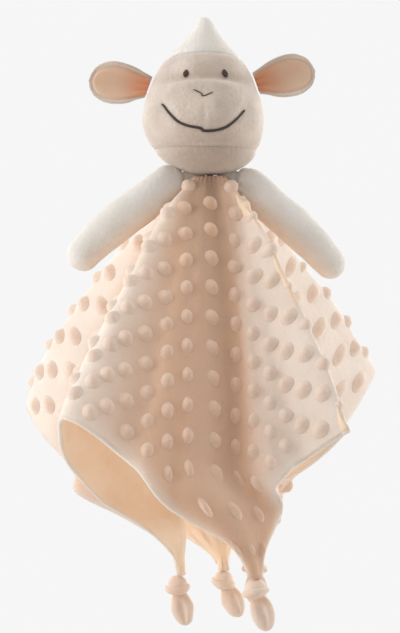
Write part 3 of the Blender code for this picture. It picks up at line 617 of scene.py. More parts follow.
def head_panel(name, azimuths, top_of, bottom_of, columns, rows, finish, slot, node, seed):
    first, last = azimuths
    whole = last - first >= 360.0
    azimuth = np.linspace(first, last, columns + 1)[None, :] + np.zeros((rows + 1, 1))
    if whole:
        azimuth = azimuth[:, :-1]
    top, bottom = top_of(azimuth), bottom_of(azimuth)
    share = np.linspace(0.0, 1.0, rows + 1)[:, None]
    level = np.clip(top + (bottom - top) * share, 0.0, NECK_LEVEL)
    places = head_places(azimuth, level)
    normals = head_normals(azimuth, np.clip(level, 0.03, NECK_LEVEL - 0.03))
    steps = np.linalg.norm(np.diff(places, axis=0), axis=-1)
    from_top = np.concatenate([np.zeros((1, steps.shape[1])), np.cumsum(steps, axis=0)])
    from_bottom = from_top[-1:] - from_top
    run = np.radians(azimuth) * 0.034
    tuck = np.zeros(places.shape[:2])
    if top_of(0.0) > 0.0:
        tuck += bell(from_top, SEAM_SOFT)
    if bottom_of(0.0) < NECK_LEVEL:
        tuck += bell(from_bottom, SEAM_SOFT)
    if not whole:
        wide = head_level(level)[..., 1]
        side = np.minimum(azimuth - first, last - azimuth) * math.pi / 180.0 * wide
        tuck = np.maximum(tuck, bell(side, SEAM_SOFT))
    rise = -SEAM_TUCK * tuck - PUCKER_DEPTH * tuck * (1 + np.cos(2 * math.pi * run / PUCKER_PITCH)) / 2
    rise += lumps(places, 0.016, 0.0005, seed) * smooth(1.0 - tuck)
    if slot == "face_velour":
        rise += face_relief(places[..., 0], -places[..., 2]) * smooth(1.0 - tuck)
    places = places + normals * rise[..., None]
    mesh = grid_mesh(name, places, closed_round=whole)
    faces_outward(mesh, (0.0, 0.0, -HEAD_HEIGHT / 2.0))
    # painted shade under the cheeks and along the brow crease
    store_painted_shade(mesh, lambda at: CHIN_PAINTED_SHADE * smooth((-at[:, 2] - CHEEK_DEPTH) / CHIN_FADE)
                + BROW_PAINTED_SHADE * bell(-at[:, 2] - BROW_DEPTH, BROW_SHADE_WIDE))
    piece = add_piece(name, mesh, finish, "head", slot, node)
    cloth_wall(piece, PLUSH_WALL)
    return piece


tip, chin, neck = level_seam(0.0), level_seam(CHIN_LEVEL), level_seam(NECK_LEVEL)
head_panel("crown_plush", (-180.0, 180.0), tip, crown_seam, 96, 30, plush, "white_plush", "crown_cone", 1.0)
head_panel("face_cloth", (-FACE_EDGE_DEG, FACE_EDGE_DEG), crown_seam, chin, 110, 84, velour, "face_velour",
           "face_panel", 2.0)
head_panel("chin_cloth", (-FACE_EDGE_DEG, FACE_EDGE_DEG), chin, neck, 90, 34, velour, "face_velour",
           "chin_panel", 3.0)
head_panel("back_plush_left", (-180.0, -FACE_EDGE_DEG), crown_seam, neck, 48, 80, plush, "white_plush",
           "head_back_left", 4.0)
head_panel("back_plush_right", (FACE_EDGE_DEG, 180.0), crown_seam, neck, 48, 80, plush, "white_plush",
           "head_back_right", 5.0)
print("head panels made")

# %% [markdown]
# ## Filling of the head
# Inside is loose polyester fibre. It doesn't show, but a model that is taken apart should have it, so it
# is a lumpy body just inside the panels.

# %% Filling of the head
FILL_CLEARANCE = 0.0008


def head_filling():
    columns, rows = 48, 40
    azimuth = np.linspace(-180.0, 180.0, columns + 1)[None, :-1] + np.zeros((rows + 1, 1))
    level = np.linspace(1.75, 14.0, rows + 1)[:, None] + np.zeros((1, columns))
    places = head_places(azimuth, level)
    inset = PLUSH_WALL + FILL_CLEARANCE + SEAM_TUCK + 0.0003 + np.abs(lumps(places, 0.009, 0.0008, 6.0))
    places = places - head_normals(azimuth, level) * inset[..., None]
    top, bottom = places[:1].mean(axis=1, keepdims=True), places[-1:].mean(axis=1, keepdims=True)
    places = np.concatenate([np.repeat(top, columns, 1), places, np.repeat(bottom, columns, 1)])
    mesh = grid_mesh("head_filling", places, closed_round=True)
    faces_outward(mesh, (0.0, 0.0, -HEAD_HEIGHT / 2.0))
    add_piece("head_filling", mesh, fibre, "head", "polyester_fill", "head_stuffing")


head_filling()
print("filling made")

# %% [markdown]
# ## Embroidery
# The face is drawn with a few stitches: two ovals for the eyes, a small nose and one long smile. Repeated
# stitches are what Geometry Nodes do well: a line is cut into even steps, one small lozenge of thread is
# laid on each step, and each step says how long its stitch is and which way it runs. For the eyes the
# stitches stand upright side by side, as in satin stitch.

# %% A tree of its own for stitches


def start_tree(name, inputs):
    """A node group with one geometry in, one out, and named inputs."""
    tree = bpy.data.node_groups.new(name, "GeometryNodeTree")
    tree.interface.new_socket("Geometry", in_out="INPUT", socket_type="NodeSocketGeometry")
    tree.interface.new_socket("Geometry", in_out="OUTPUT", socket_type="NodeSocketGeometry")
    for label, kind, value in inputs:
        socket = tree.interface.new_socket(label, in_out="INPUT", socket_type=kind)
        if value is not None:
            socket.default_value = value
    return tree, tree.nodes.new("NodeGroupInput"), tree.nodes.new("NodeGroupOutput")


def shown(sockets, name):
    """The socket of that name that the node shows for its data type."""
    return next(s for s in sockets if s.name == name and s.enabled)


def add_node(tree, kind, feeds=None, **settings):
    """A node with its settings. feeds says what each input, by name or place, is linked to or set to."""
    node = tree.nodes.new(kind)
    for key, value in settings.items():
        setattr(node, key, value)
    for key, value in (feeds or {}).items():
        if isinstance(value, bpy.types.NodeSocket):
            tree.links.new(value, node.inputs[key])
        else:
            node.inputs[key].default_value = value
    return node


def named_value(tree, name, kind="FLOAT"):
    node = add_node(tree, "GeometryNodeInputNamedAttribute", {"Name": name}, data_type=kind)
    return shown(node.outputs, "Attribute")


def calculate(tree, operation, *values):
    return worked_out(tree.nodes, tree.links, operation, *values)


def run_tree(tree, name, mesh, settings):
    """Runs a tree on a mesh and returns the plain mesh that it makes."""
    carrier = bpy.data.objects.new(name, mesh)
    bpy.context.scene.collection.objects.link(carrier)
    modifier = carrier.modifiers.new("tree", "NODES")
    modifier.node_group = tree
    sockets = {s.name: s.identifier for s in tree.interface.items_tree if s.in_out == "INPUT"}
    for label, value in settings.items():
        modifier[sockets[label]] = value
    bpy.context.view_layer.update()
    made = bpy.data.meshes.new_from_object(carrier.evaluated_get(bpy.context.evaluated_depsgraph_get()))
    carrier.modifiers.clear()
    bpy.data.objects.remove(carrier)
    made.name = name
    return made


def stitch_tree():
    """Lays one stitch on each point: along its own direction, as long and as wide as it says."""
    tree, entry, leave = start_tree("laid_stitches", [
        ("Thickness", "NodeSocketFloat", 0.001), ("Thread", "NodeSocketMaterial", None)])
    bead = add_node(tree, "GeometryNodeMeshUVSphere", {"Segments": 8, "Rings": 6, "Radius": 0.5})
    way, up = (named_value(tree, name, "FLOAT_VECTOR") for name in ("stitch_way", "stitch_up"))
    turn = add_node(tree, "FunctionNodeAlignRotationToVector", {"Vector": way}, axis="X")
    upright = add_node(tree, "FunctionNodeAlignRotationToVector", {"Rotation": turn.outputs[0], "Vector": up},
                       axis="Z", pivot_axis="X")
    size = add_node(tree, "ShaderNodeCombineXYZ", {
        "X": named_value(tree, "stitch_length"), "Y": named_value(tree, "stitch_width"),
        "Z": entry.outputs["Thickness"]})
    points = add_node(tree, "GeometryNodeMeshToPoints", {"Mesh": entry.outputs["Geometry"]})
    lay = add_node(tree, "GeometryNodeInstanceOnPoints", {
        "Points": points.outputs[0], "Instance": bead.outputs["Mesh"], "Rotation": upright.outputs[0],
        "Scale": size.outputs[0]})
    real = add_node(tree, "GeometryNodeRealizeInstances", {0: lay.outputs[0]})
    soft = add_node(tree, "GeometryNodeSetShadeSmooth", {"Geometry": real.outputs[0]})
    finish = add_node(tree, "GeometryNodeSetMaterial", {
        "Geometry": soft.outputs[0], "Material": entry.outputs["Thread"]})
    tree.links.new(finish.outputs[0], leave.inputs["Geometry"])
    return tree


STITCHES = stitch_tree()
print("stitch tree nodes:", len(STITCHES.nodes))

# %% Laying the stitches on the face


def face_places(x, depth, lift):
    """Points above the finished face and the way out there."""
    x, depth = np.asarray(x, float), np.asarray(depth, float)
    level = level_at(depth)
    rows = head_level(level)
    azimuth = np.degrees(np.arcsin((x - rows[..., 4]) / rows[..., 1]))
    normals = head_normals(azimuth, level)
    rise = face_relief(x, depth) + lift
    return head_places(azimuth, level) + normals * np.asarray(rise)[..., None], normals


def along_line(points, step):
    """Even steps along a smooth line through points."""
    points = np.array(points, float)
    fine = []
    for i in range(len(points) - 1):
        p0, p1 = points[max(i - 1, 0)], points[i]
        p2, p3 = points[i + 1], points[min(i + 2, len(points) - 1)]
        for t in np.linspace(0.0, 1.0, 16, endpoint=False):
            fine.append(0.5 * (2 * p1 + (p2 - p0) * t + (2 * p0 - 5 * p1 + 4 * p2 - p3) * t * t
                               + (3 * p1 - p0 - 3 * p2 + p3) * t ** 3))
    fine = np.array(fine + [points[-1]])
    run = np.concatenate([[0.0], np.cumsum(np.linalg.norm(np.diff(fine, axis=0), axis=1))])
    steps = np.linspace(0.0, run[-1], max(int(round(run[-1] / step)), 2) + 1)
    return np.stack([np.interp(steps, run, fine[:, i]) for i in range(points.shape[1])], 1)


def laid_stitches(name, places, ways, ups, lengths, widths, thickness, thread, body, slot, *nodes):
    mesh = bpy.data.meshes.new(name)
    mesh.from_pydata([tuple(p) for p in places], [], [])
    store_on_points(mesh, stitch_way=ways, stitch_up=ups, stitch_length=lengths, stitch_width=widths)
    made = run_tree(STITCHES, name, mesh, {"Thickness": thickness, "Thread": thread})
    return add_piece(name, made, thread, body, slot, *nodes)


def line_of_stitches(name, shares, left, wide, top, drop, step, length, width, thickness, slant_deg, node):
    """A row of slanted stitches that overlap along a line on the face."""
    flat = along_line([(left + a * wide, top + d * drop) for a, d in shares], step)
    places, ups = face_places(flat[:, 0], flat[:, 1], thickness * 0.25)
    ways = np.gradient(places, axis=0)
    ways /= np.linalg.norm(ways, axis=1, keepdims=True)
    slant = math.radians(slant_deg)
    ways = ways * math.cos(slant) + np.cross(ups, ways) * math.sin(slant)
    share = np.linspace(0.0, 1.0, len(flat))
    fuller = 1.0 - 0.35 * np.abs(2.0 * share - 1.0) ** 3
    return laid_stitches(name, places, ways, ups, np.full(len(flat), length), width * fuller, thickness,
                         brown_thread, "head", "brown_thread", node)


EYE_STITCHES, EYE_HALF_WIDTH, EYE_HEIGHT, EYE_LIFT = 8, 0.00135, 0.0062, 0.0003
EYE_THREAD_WIDE, EYE_THREAD_THICK = 0.00075, 0.0011


def eye_of_stitches(name, x, node):
    """Upright satin stitches side by side, longest in the middle."""
    across = np.linspace(-1.0, 1.0, EYE_STITCHES)
    flat_x = x + across * EYE_HALF_WIDTH
    lift = EYE_LIFT + EYE_LIFT * (1.0 - across ** 2)
    places, ups = face_places(flat_x, np.full(EYE_STITCHES, EYE_DEPTH), lift)
    ways = np.tile(np.array((0.0, 0.0, 1.0)), (EYE_STITCHES, 1)) - ups * ups[:, 2:3]
    lengths = EYE_HEIGHT * np.sqrt(1.0 - (across * 0.90) ** 2)
    return laid_stitches(name, places, ways, ups, lengths, np.full(EYE_STITCHES, EYE_THREAD_WIDE),
                         EYE_THREAD_THICK, brown_thread, "head", "brown_thread", node)


eye_of_stitches("eye_stitches_left", EYE_XS[0], "eye_left")
eye_of_stitches("eye_stitches_right", EYE_XS[1], "eye_right")
line_of_stitches("nose_stitches", NOSE_POINT_SHARES, NOSE_LEFT_X, NOSE_WIDTH, NOSE_DEPTH, NOSE_DROP,
                 0.0008, 0.0020, 0.0007, 0.0008, 12.0, "nose_stitch")
line_of_stitches("mouth_stitches", MOUTH_POINT_SHARES, MOUTH_LEFT_X, MOUTH_WIDTH, MOUTH_DEPTH, MOUTH_DROP,
                 0.0010, 0.0030, 0.0017, 0.0016, 14.0, "mouth_stitch")
print("embroidery made")

# %% [markdown]
# ## Ears
# Each ear is a leaf of velour with a leaf of satin inside it, sewn round the edge, turned the right way
# out and pinched at its root. The velour rolls over the edge as a rim. The surface is worked out from a
# width, a cup and a twist along the ear, so that both cloths share it.

# %% Ears
EAR_LENGTH, EAR_HALF_WIDTH = 0.0364, 0.0120
EAR_BACK_WALL, EAR_LINING_WALL = 0.0013, 0.0007
EAR_ROOT_GAP, EAR_RIM, EAR_CUP = 0.0009, 0.0018, 0.0060
EAR_DEPTHS = {-1: 0.445 * HEAD_HEIGHT, 1: 0.420 * HEAD_HEIGHT}
EAR_RISES_DEG = {-1: 6.5, 1: 12.0}
EAR_TWIST_SHARE = 0.4
EAR_WIDTH_SHARES = ((0.0, 0.56), (0.12, 0.70), (0.25, 0.86), (0.45, 0.98), (0.65, 1.0),
                    (0.8, 0.88), (0.92, 0.6), (1.0, 0.0))
EAR_CUP_SHARES = ((0.0, 0.0), (0.15, 0.6), (0.4, 1.0), (0.75, 0.85), (1.0, 0.3))


def smooth_shares(table, places):
    """A smooth curve through (place, share) points, read at an array of places."""
    knots = np.array([row[0] for row in table])
    values = np.array([row[1] for row in table])
    slopes = np.empty(len(table))
    for i in range(len(table)):
        low, high = max(i - 1, 0), min(i + 1, len(table) - 1)
        slopes[i] = (values[high] - values[low]) / (knots[high] - knots[low])
    places = np.clip(places, knots[0], knots[-1])
    i = np.clip(np.searchsorted(knots, places) - 1, 0, len(table) - 2)
    span = knots[i + 1] - knots[i]
    t = (places - knots[i]) / span
    return (values[i] * (2 * t ** 3 - 3 * t ** 2 + 1) + slopes[i] * span * (t ** 3 - 2 * t ** 2 + t)
            + values[i + 1] * (3 * t ** 2 - 2 * t ** 3) + slopes[i + 1] * span * (t ** 3 - t ** 2))


def ear_places(side, rim, lift, columns, rows, relief):
    level = float(level_at(EAR_DEPTHS[side]))
    seam = head_places(side * FACE_EDGE_DEG, level)
    out = head_normals(np.array(side * FACE_EDGE_DEG), np.array(level))
    forward = np.array((0.0, -1.0, 0.0))
    root_line = np.cross(out, forward) * -side
    root_line /= np.linalg.norm(root_line)
    rise = math.radians(EAR_RISES_DEG[side])
    length = np.array((side * math.cos(rise), 0.0, math.sin(rise)))
    width = np.array((-side * math.sin(rise), 0.0, math.cos(rise)))
    along = (1.0 - (1.0 - np.linspace(0.0, 1.0, rows + 1)) ** 1.5)[:, None]
    across = np.linspace(-1.0, 1.0, columns + 1)[None, :]
    half = np.maximum(smooth_shares(EAR_WIDTH_SHARES, along) * EAR_HALF_WIDTH - rim, 0.0)
    reach = along * (EAR_LENGTH - rim)
    aslant = half / EAR_HALF_WIDTH * across
    curl = smooth_shares(EAR_CUP_SHARES, reach / EAR_LENGTH) * EAR_CUP * aslant ** 2
    twist = smooth(along / EAR_TWIST_SHARE)[..., None]
    aside = root_line * (1.0 - twist) + width * twist
    lifted = curl + lift + relief(along, across, half)
    return (seam + out * EAR_ROOT_GAP + length * (reach + 0.0 * across)[..., None]
            + aside * (half * across)[..., None] + forward * lifted[..., None])


RIM_RISE, RIM_AT, RIM_WIDE = 0.0007, 0.0008, 0.0014
CREASE_RISE, SATIN_SINK, SATIN_SINK_WIDE = 0.0005, 0.0010, 0.0012


def ear_edge_room(along, across, half):
    """How far each point of an ear is from its edge."""
    return np.minimum(half * (1.0 - np.abs(across)), (1.0 - along) * EAR_LENGTH)


def rim_relief(along, across, half):
    """The velour rolls forward over the edge."""
    return RIM_RISE * bell(ear_edge_room(along, across, half) - RIM_AT, RIM_WIDE) * smooth(along / 0.2)


def satin_relief(along, across, half):
    """Soft creases run out from the pinched root, and the edge sinks into the velour."""
    creases = CREASE_RISE * np.cos(across * 9.0) * smooth(1.0 - along / 0.55)
    sunk = SATIN_SINK * bell(ear_edge_room(along, across, half), SATIN_SINK_WIDE)
    return creases * smooth((1.0 - np.abs(across)) / 0.3) - sunk


def make_ear(side, word):
    body = f"ear_{word}"
    back = ear_places(side, 0.0, 0.0, 36, 40, rim_relief)
    back_mesh = faces_outward(grid_mesh(f"ear_velour_{word}", back), (0.0, 0.1, 0.0))
    velour_piece = add_piece(f"ear_velour_{word}", back_mesh, velour, body, "face_velour",
                             f"ear_{word}_back")
    cloth_wall(velour_piece, EAR_BACK_WALL)
    inner = ear_places(side, EAR_RIM, 0.0004, 30, 34, satin_relief)
    inner_mesh = faces_outward(grid_mesh(f"ear_satin_{word}", inner), (0.0, 0.1, 0.0))
    root = inner[0].mean(axis=0)
    # painted shade: the satin turns darker and warmer towards the pinched root
    store_painted_shade(inner_mesh, lambda at: smooth(1.0 - np.linalg.norm(at - root, axis=1) / (0.6 * EAR_LENGTH)))
    satin_piece = add_piece(f"ear_satin_{word}", inner_mesh, satin, body, "ear_satin", f"ear_{word}_lining")
    cloth_wall(satin_piece, EAR_LINING_WALL, 1.0)


make_ear(-1, "left")
make_ear(1, "right")
print("ears", round(EAR_LENGTH * 1000, 1), "mm long")

# %% [markdown]
# ## How the blanket hangs
# The blanket is a square of 400 mm, held by its middle. A cloth simulation finds folds of its own, which
# wouldn't be those of the photographed toy, so the folds are laid by rule instead. Each fold line has an
# azimuth and a slope from the vertical at the neck, halfway and at the hem. Every point of the flat square
# walks down its own slope, with its full length of cloth, and near each corner the cloth draws together
# into the knot. The rule is the one that the solids follow, read far more finely.

# %% Sizes and folds of the blanket
NECK_BEAD_RADIUS, NECK_BEAD_RISE, CLEARANCE = 0.0022, 0.0005, 0.0003
NECK_MIDDLE = np.array((NECK_SHIFT, 0.0, NECK_BEAD_RISE - HEAD_HEIGHT))
BLANKET_TOP = NECK_MIDDLE - np.array((0.0, 0.0, NECK_BEAD_RADIUS + CLEARANCE))
BLANKET_SIDE = 0.400
MINKY_WALL, LINING_WALL = 0.0014, 0.0008
SEAM_CLOTH, SEAM_RADIUS = 0.018, 0.012
FOLD_EASE = 0.035
RIDGE_POWER = 1.2
FOLDS_DEG = (
    (-45.0, -39.6, 60.0, 36.4, 32.4), (-24.0, -20.5, 43.0, 29.0, 28.0), (-8.0, -8.5, 46.0, 23.0, 24.0),
    (6.0, 9.0, 39.0, 18.0, 18.0), (21.0, 20.5, 39.0, 23.0, 21.0), (32.0, 29.5, 43.0, 24.0, 21.0),
    (45.0, 42.0, 60.0, 32.6, 27.6), (62.0, 40.0, 30.0, 8.0, 8.0), (88.0, 88.0, 16.0, 7.0, 7.0),
    (112.0, 132.0, 34.0, 12.0, 12.0), (135.0, 134.0, 66.0, 49.0, 41.0), (182.0, 190.0, 26.0, 9.0, 9.0),
    (225.0, 245.8, 57.0, 45.2, 12.0), (248.0, 260.0, 38.0, 18.0, 17.0), (270.0, 281.0, 16.0, 2.0, 2.0),
)
FOLD_STEP_DEG, FOLD_SOFTNESS_DEG = 0.25, 1.6      # how far round a ridge the fine cloth is eased


def fold_table():
    """Turn and three slopes for every quarter of a degree of the flat square, eased over the ridges."""
    start = FOLDS_DEG[0]
    folds = FOLDS_DEG + ((start[0] + 360.0, start[1] + 360.0, *start[2:]),)
    flats = np.arange(0.0, 360.0, FOLD_STEP_DEG)
    rows = []
    for flat in flats:
        flat = (flat - start[0]) % 360.0 + start[0]
        near, far = next((n, f) for n, f in zip(folds, folds[1:]) if flat <= f[0])
        across = (flat - near[0]) / (far[0] - near[0])
        rise = (1.0 - math.cos(math.pi * across)) / 2.0
        slopes = [n + (f - n) * rise ** RIDGE_POWER if f > n else f + (n - f) * (1.0 - rise) ** RIDGE_POWER
                  for n, f in zip(near[2:], far[2:])]
        hung = near[1] + (far[1] - near[1]) * across
        rows.append([(hung - flat + 180.0) % 360.0 - 180.0, *slopes])
    rows = np.array(rows)
    reach = int(FOLD_SOFTNESS_DEG * 3 / FOLD_STEP_DEG)
    weights = np.exp(-(np.arange(-reach, reach + 1) * FOLD_STEP_DEG / FOLD_SOFTNESS_DEG) ** 2 / 2.0)
    weights /= weights.sum()
    eased = sum(w * np.roll(rows, k, axis=0) for w, k in zip(weights, range(-reach, reach + 1)))
    return flats, eased


FLAT_STEPS, FOLD_ROWS = fold_table()


def fold_rows(flat_deg):
    return np.stack([np.interp(flat_deg % 360.0, FLAT_STEPS, FOLD_ROWS[:, i], period=360.0)
                     for i in range(4)], -1)


print("fold lines:", len(FOLDS_DEG))

# %% Walking down the folds


def headings(azimuth_deg):
    angle = np.radians(azimuth_deg)
    return np.stack([np.sin(angle), -np.cos(angle), np.zeros_like(angle)], -1)


def hung_places(flat_deg, cloth):
    """Where cloth hangs before the corners are drawn in, for azimuths in the flat square and distances."""
    turn, first, middle, last = np.moveaxis(fold_rows(flat_deg), -1, 0)
    steps = 48
    step = np.maximum(cloth - SEAM_CLOTH, 0.0) / steps
    out = SEAM_RADIUS * np.minimum(cloth / SEAM_CLOTH, 1.0)
    down = np.zeros_like(out)
    for index in range(steps):
        run = (index + 0.5) * step
        droop = np.minimum(run / (BLANKET_SIDE / 2.0 - SEAM_CLOTH), 1.0) ** 3
        slope = np.radians(middle + (first - middle) * np.exp(-run / FOLD_EASE) + (last - middle) * droop)
        out = out + np.sin(slope) * step
        down = down + np.cos(slope) * step
    turned = turn * (1.0 - np.exp(-np.maximum(cloth - SEAM_CLOTH, 0.0) / FOLD_EASE))
    return BLANKET_TOP + headings(flat_deg + turned) * out[..., None] - np.stack(
        [np.zeros_like(down), np.zeros_like(down), down], -1)


# %% [markdown]
# ## Drawing the corners into their knots
# Above a knot the cloth is gathered: its full width is wrapped round a stem as thick as the knot's neck,
# and the pleats open out higher up. Two corners bulge outwards, the others fold in behind.

# %% Corners
KNOT_CLOTH = 0.0250
GATHER_REACH, GATHER_RADIUS, GATHER_STEM, GATHER_PLEAT = 0.058, 0.0046, 0.003, 0.047
GATHER_WRAP_DEG, GATHER_OPEN_DEG, GATHER_HANG_SHARE = 68.0, 55.0, 0.54
KNOT_RADIUS = 0.0064
CORNER_NAMES = ("front", "right", "back", "left")
CORNER_ROWS = np.array((
    (0.0, 1.05, 0.099, -0.33, 0.92, 1.0), (90.0, 1.19, 0.1067, 0.0395, 0.9209, -1.0),
    (180.0, 0.83, 0.0324, 0.1450, 0.9351, -1.0), (270.0, 0.91, -0.0750, 0.0077, 0.9385, -1.0),
))
CORNER_CLOTH = BLANKET_SIDE / math.sqrt(2.0) - KNOT_CLOTH * CORNER_ROWS[:, 1]
KNOT_MIDDLES = BLANKET_TOP + (CORNER_ROWS[:, 2:5] * np.array((1.0, 1.0, -1.0))) * CORNER_CLOTH[:, None]
LAYERS = MINKY_WALL + CLEARANCE + LINING_WALL
GATHER_HEIGHT = math.sqrt((KNOT_RADIUS + CLEARANCE) ** 2 - (GATHER_RADIUS - LAYERS) ** 2)


def nearest_corner(flat_deg):
    """Which corner's quarter an azimuth lies in, and the azimuth from that corner."""
    which = np.round(np.asarray(flat_deg) / 90.0).astype(int) % 4
    return which, (flat_deg - CORNER_ROWS[which, 0] + 180.0) % 360.0 - 180.0


def cloth_edge(flat_deg):
    """Cloth from the middle of the square to its hem, or to the knot that takes its corner."""
    which, offset = nearest_corner(flat_deg)
    hem = BLANKET_SIDE / 2.0 / np.cos(np.radians(45.0 - np.abs(offset)))
    return np.minimum(hem, CORNER_CLOTH[which] / np.cos(np.radians(offset)))


def cloth_places(flat_deg, cloth):
    """Where each point of the flat square lies in the hung and knotted blanket."""
    which, offset = nearest_corner(flat_deg)
    rows = CORNER_ROWS[which]
    bulge, reach = rows[..., 5], CORNER_CLOTH[which]
    along = cloth * np.cos(np.radians(offset))
    sideways = cloth * np.sin(np.radians(offset))
    hung = hung_places(flat_deg, cloth)
    drawn = smooth((along - (reach - GATHER_REACH)) / GATHER_REACH)
    half_width = np.maximum(BLANKET_SIDE / math.sqrt(2.0) - along, 1e-4)
    opened = smooth((reach - along - GATHER_STEM) / GATHER_PLEAT)
    wrap = np.radians(GATHER_WRAP_DEG + (GATHER_OPEN_DEG - GATHER_WRAP_DEG) * opened)
    turn = wrap * sideways / half_width
    tight = np.where(bulge > 0.0, GATHER_RADIUS, GATHER_RADIUS - LAYERS)
    radius = tight + (half_width / wrap - tight) * opened
    level_out = np.stack([rows[..., 2], rows[..., 3], np.zeros_like(bulge)], -1)
    level_out /= np.linalg.norm(level_out, axis=-1, keepdims=True)
    aside = np.stack([-level_out[..., 1], level_out[..., 0], np.zeros_like(bulge)], -1)
    end = KNOT_MIDDLES[which].copy()
    end[..., 2] += GATHER_HEIGHT + (reach - along)
    end = end - level_out * (bulge * GATHER_HANG_SHARE * (radius - tight))[..., None]
    ring = level_out * (bulge * np.cos(turn))[..., None] + aside * np.sin(turn)[..., None]
    return hung + (end + ring * radius[..., None] - hung) * drawn[..., None]


print("knots hang at", [tuple(round(float(v), 3) for v in m) for m in KNOT_MIDDLES])

# %% [markdown]
# ## The blanket's grid
# The grid runs out from the middle in rings. Its columns end at even steps along each hem and across each
# knot, so that the hem is smooth. Slow noise adds wrinkles, two long folds run down the front panel, and
# the ring that is sewn to the neck is puckered. Each point keeps where it lay in the flat square and a
# painted shade, highest deep in a fold and under the arms and head: the dots and the finish need both.

# %% Grid
HEM_STEPS, KNOT_STEPS, CLOTH_ROWS = 88, 8, 84
RING_RISE, GATHER_RELIEF, GATHERS = 0.0012, 0.0004, 34      # the puckered ring that is sewn to the neck


def hem_columns():
    """Azimuths in the flat square of the grid's columns, all the way round."""
    columns = []
    for i in range(4):
        cut = KNOT_CLOTH * CORNER_ROWS[i, 1]
        across = np.linspace(-cut, cut, KNOT_STEPS + 1)[:-1]
        columns += list(90.0 * i + np.degrees(np.arctan2(across, CORNER_CLOTH[i])))
        after = KNOT_CLOTH * CORNER_ROWS[(i + 1) % 4, 1]
        half = BLANKET_SIDE / 2.0
        along = np.linspace(-half + cut * math.sqrt(2.0), half - after * math.sqrt(2.0), HEM_STEPS + 1)[:-1]
        columns += list(90.0 * i + 45.0 + np.degrees(np.arctan2(along, half)))
    return np.array(columns)


def with_zero(flat):
    """Points of the flat cloth as points in space, at height 0."""
    return np.concatenate([flat, np.zeros(flat.shape[:-1] + (1,))], -1)


def ripples(flat, cloth, hem_room):
    """Soft wrinkles of the hanging cloth, along its normal: none where the arms and the neck are near."""
    easy = smooth((cloth - 0.050) / 0.060)
    spread = with_zero(flat)
    slow = lumps(spread, 0.055, 0.0022, 11.0) * easy
    quick = lumps(spread, 0.020, 0.0007, 12.0) * smooth((cloth - 0.035) / 0.040)
    waves = lumps(spread, 0.030, 0.0024, 13.0) * bell(hem_room, 0.022) * easy
    return slow + quick + waves


VALLEY_X, VALLEY_DEPTH, VALLEY_WIDE = 0.0185, 0.0030, 0.0060     # the deep fold right of the middle
SHOULDER_X, SHOULDER_RISE, SHOULDER_WIDE = -0.0150, 0.0012, 0.0060
# painted shade across the front panel, by azimuth in the flat square: darkest in the middle, none on the
# ridges
FRONT_PAINTED_SHADE_DEG = (-45.0, -39.0, -32.0, -24.0, -8.0, 6.0, 14.0, 21.0, 32.0, 45.0)
FRONT_PAINTED_SHADE_SHARES = (0.0, 0.34, 0.74, 0.96, 1.08, 1.12, 0.85, 0.42, 0.18, 0.0)


def front_folds(places, cloth):
    """Two long folds that hang straight down the front panel, along its normal."""
    front = smooth((-places[..., 1] - 0.012) / 0.012) * smooth((cloth - 0.026) / 0.02)
    front = front * smooth((0.215 - cloth) / 0.05)
    valley = bell(places[..., 0] - VALLEY_X, VALLEY_WIDE)
    return front * (SHOULDER_RISE * bell(places[..., 0] - SHOULDER_X, SHOULDER_WIDE) - VALLEY_DEPTH * valley)


def fold_depths(flat_deg, places, cloth, hem_room):
    """Painted shade: 0 on a ridge and 1 down in a valley, where the light has come off more cloth; up to 2
    under the arms and the head.
    """
    turned = (flat_deg + 180.0) % 360.0 - 180.0
    valley = smooth((34.0 - fold_rows(flat_deg)[..., 2]) / 17.0)
    panel = np.interp(turned, FRONT_PAINTED_SHADE_DEG, FRONT_PAINTED_SHADE_SHARES)
    aside = valley * (0.85 + 0.45 * bell(cloth - 0.065, 0.055))
    valley = np.where(np.abs(turned) < 45.0, panel, aside) * (1.0 - 0.6 * bell(hem_room, 0.007))
    front = smooth((-places[..., 1] - 0.012) / 0.012)
    # painted shade: more along the long valley, under the arms and the head, and high on the front panel
    line = front * bell(places[..., 0] - VALLEY_X + 0.003, 0.0065) * smooth((0.225 - cloth) / 0.05)
    under = bell(cloth - 0.014, 0.022)
    shaded = front * panel * bell(cloth - 0.045, 0.042)
    return np.clip(valley + 0.30 * line + 0.95 * under + 0.40 * shaded, 0.0, 2.0)


def outward_normals(places):
    """Unit normals of the blanket's grid, turned to its outer face."""
    normals = surface_normals(places, closed_round=True)
    if normals[CLOTH_ROWS // 2 - 2, :, 2].mean() < 0.0:
        normals = -normals
    normals[:2] = (0.0, 0.0, 1.0)
    return normals


FLAT_DEG = hem_columns()
ROUND = len(FLAT_DEG)
ROW_SHARE = np.linspace(0.0, 1.0, CLOTH_ROWS + 1)
flat_grid = np.tile(FLAT_DEG, (CLOTH_ROWS + 1, 1))
edge_grid = cloth_edge(flat_grid)
cloth_grid = SEAM_CLOTH + (edge_grid - SEAM_CLOTH) * ROW_SHARE[:, None]
centre_rows = np.array((0.0, 0.35, 0.7))[:, None] * SEAM_CLOTH + np.zeros((1, ROUND))
flat_grid = np.concatenate([np.tile(FLAT_DEG, (3, 1)), flat_grid])
cloth_grid = np.concatenate([centre_rows, cloth_grid])
FLAT_PLACE = (headings(flat_grid) * cloth_grid[..., None])[..., :2]
HEM_ROOM = BLANKET_SIDE / 2.0 - np.max(np.abs(np.stack(
    [FLAT_PLACE @ np.array((1, 1)), FLAT_PLACE @ np.array((1, -1))], -1)), -1) / math.sqrt(2.0)
hung_grid = cloth_places(flat_grid, cloth_grid)
hung_normals = outward_normals(hung_grid)
moved = ripples(FLAT_PLACE, cloth_grid, HEM_ROOM) + front_folds(hung_grid, cloth_grid)
OUTER = hung_grid + hung_normals * moved[..., None]
ring_room = smooth((cloth_grid - 0.004) / 0.004) * smooth((0.026 - cloth_grid) / 0.010)
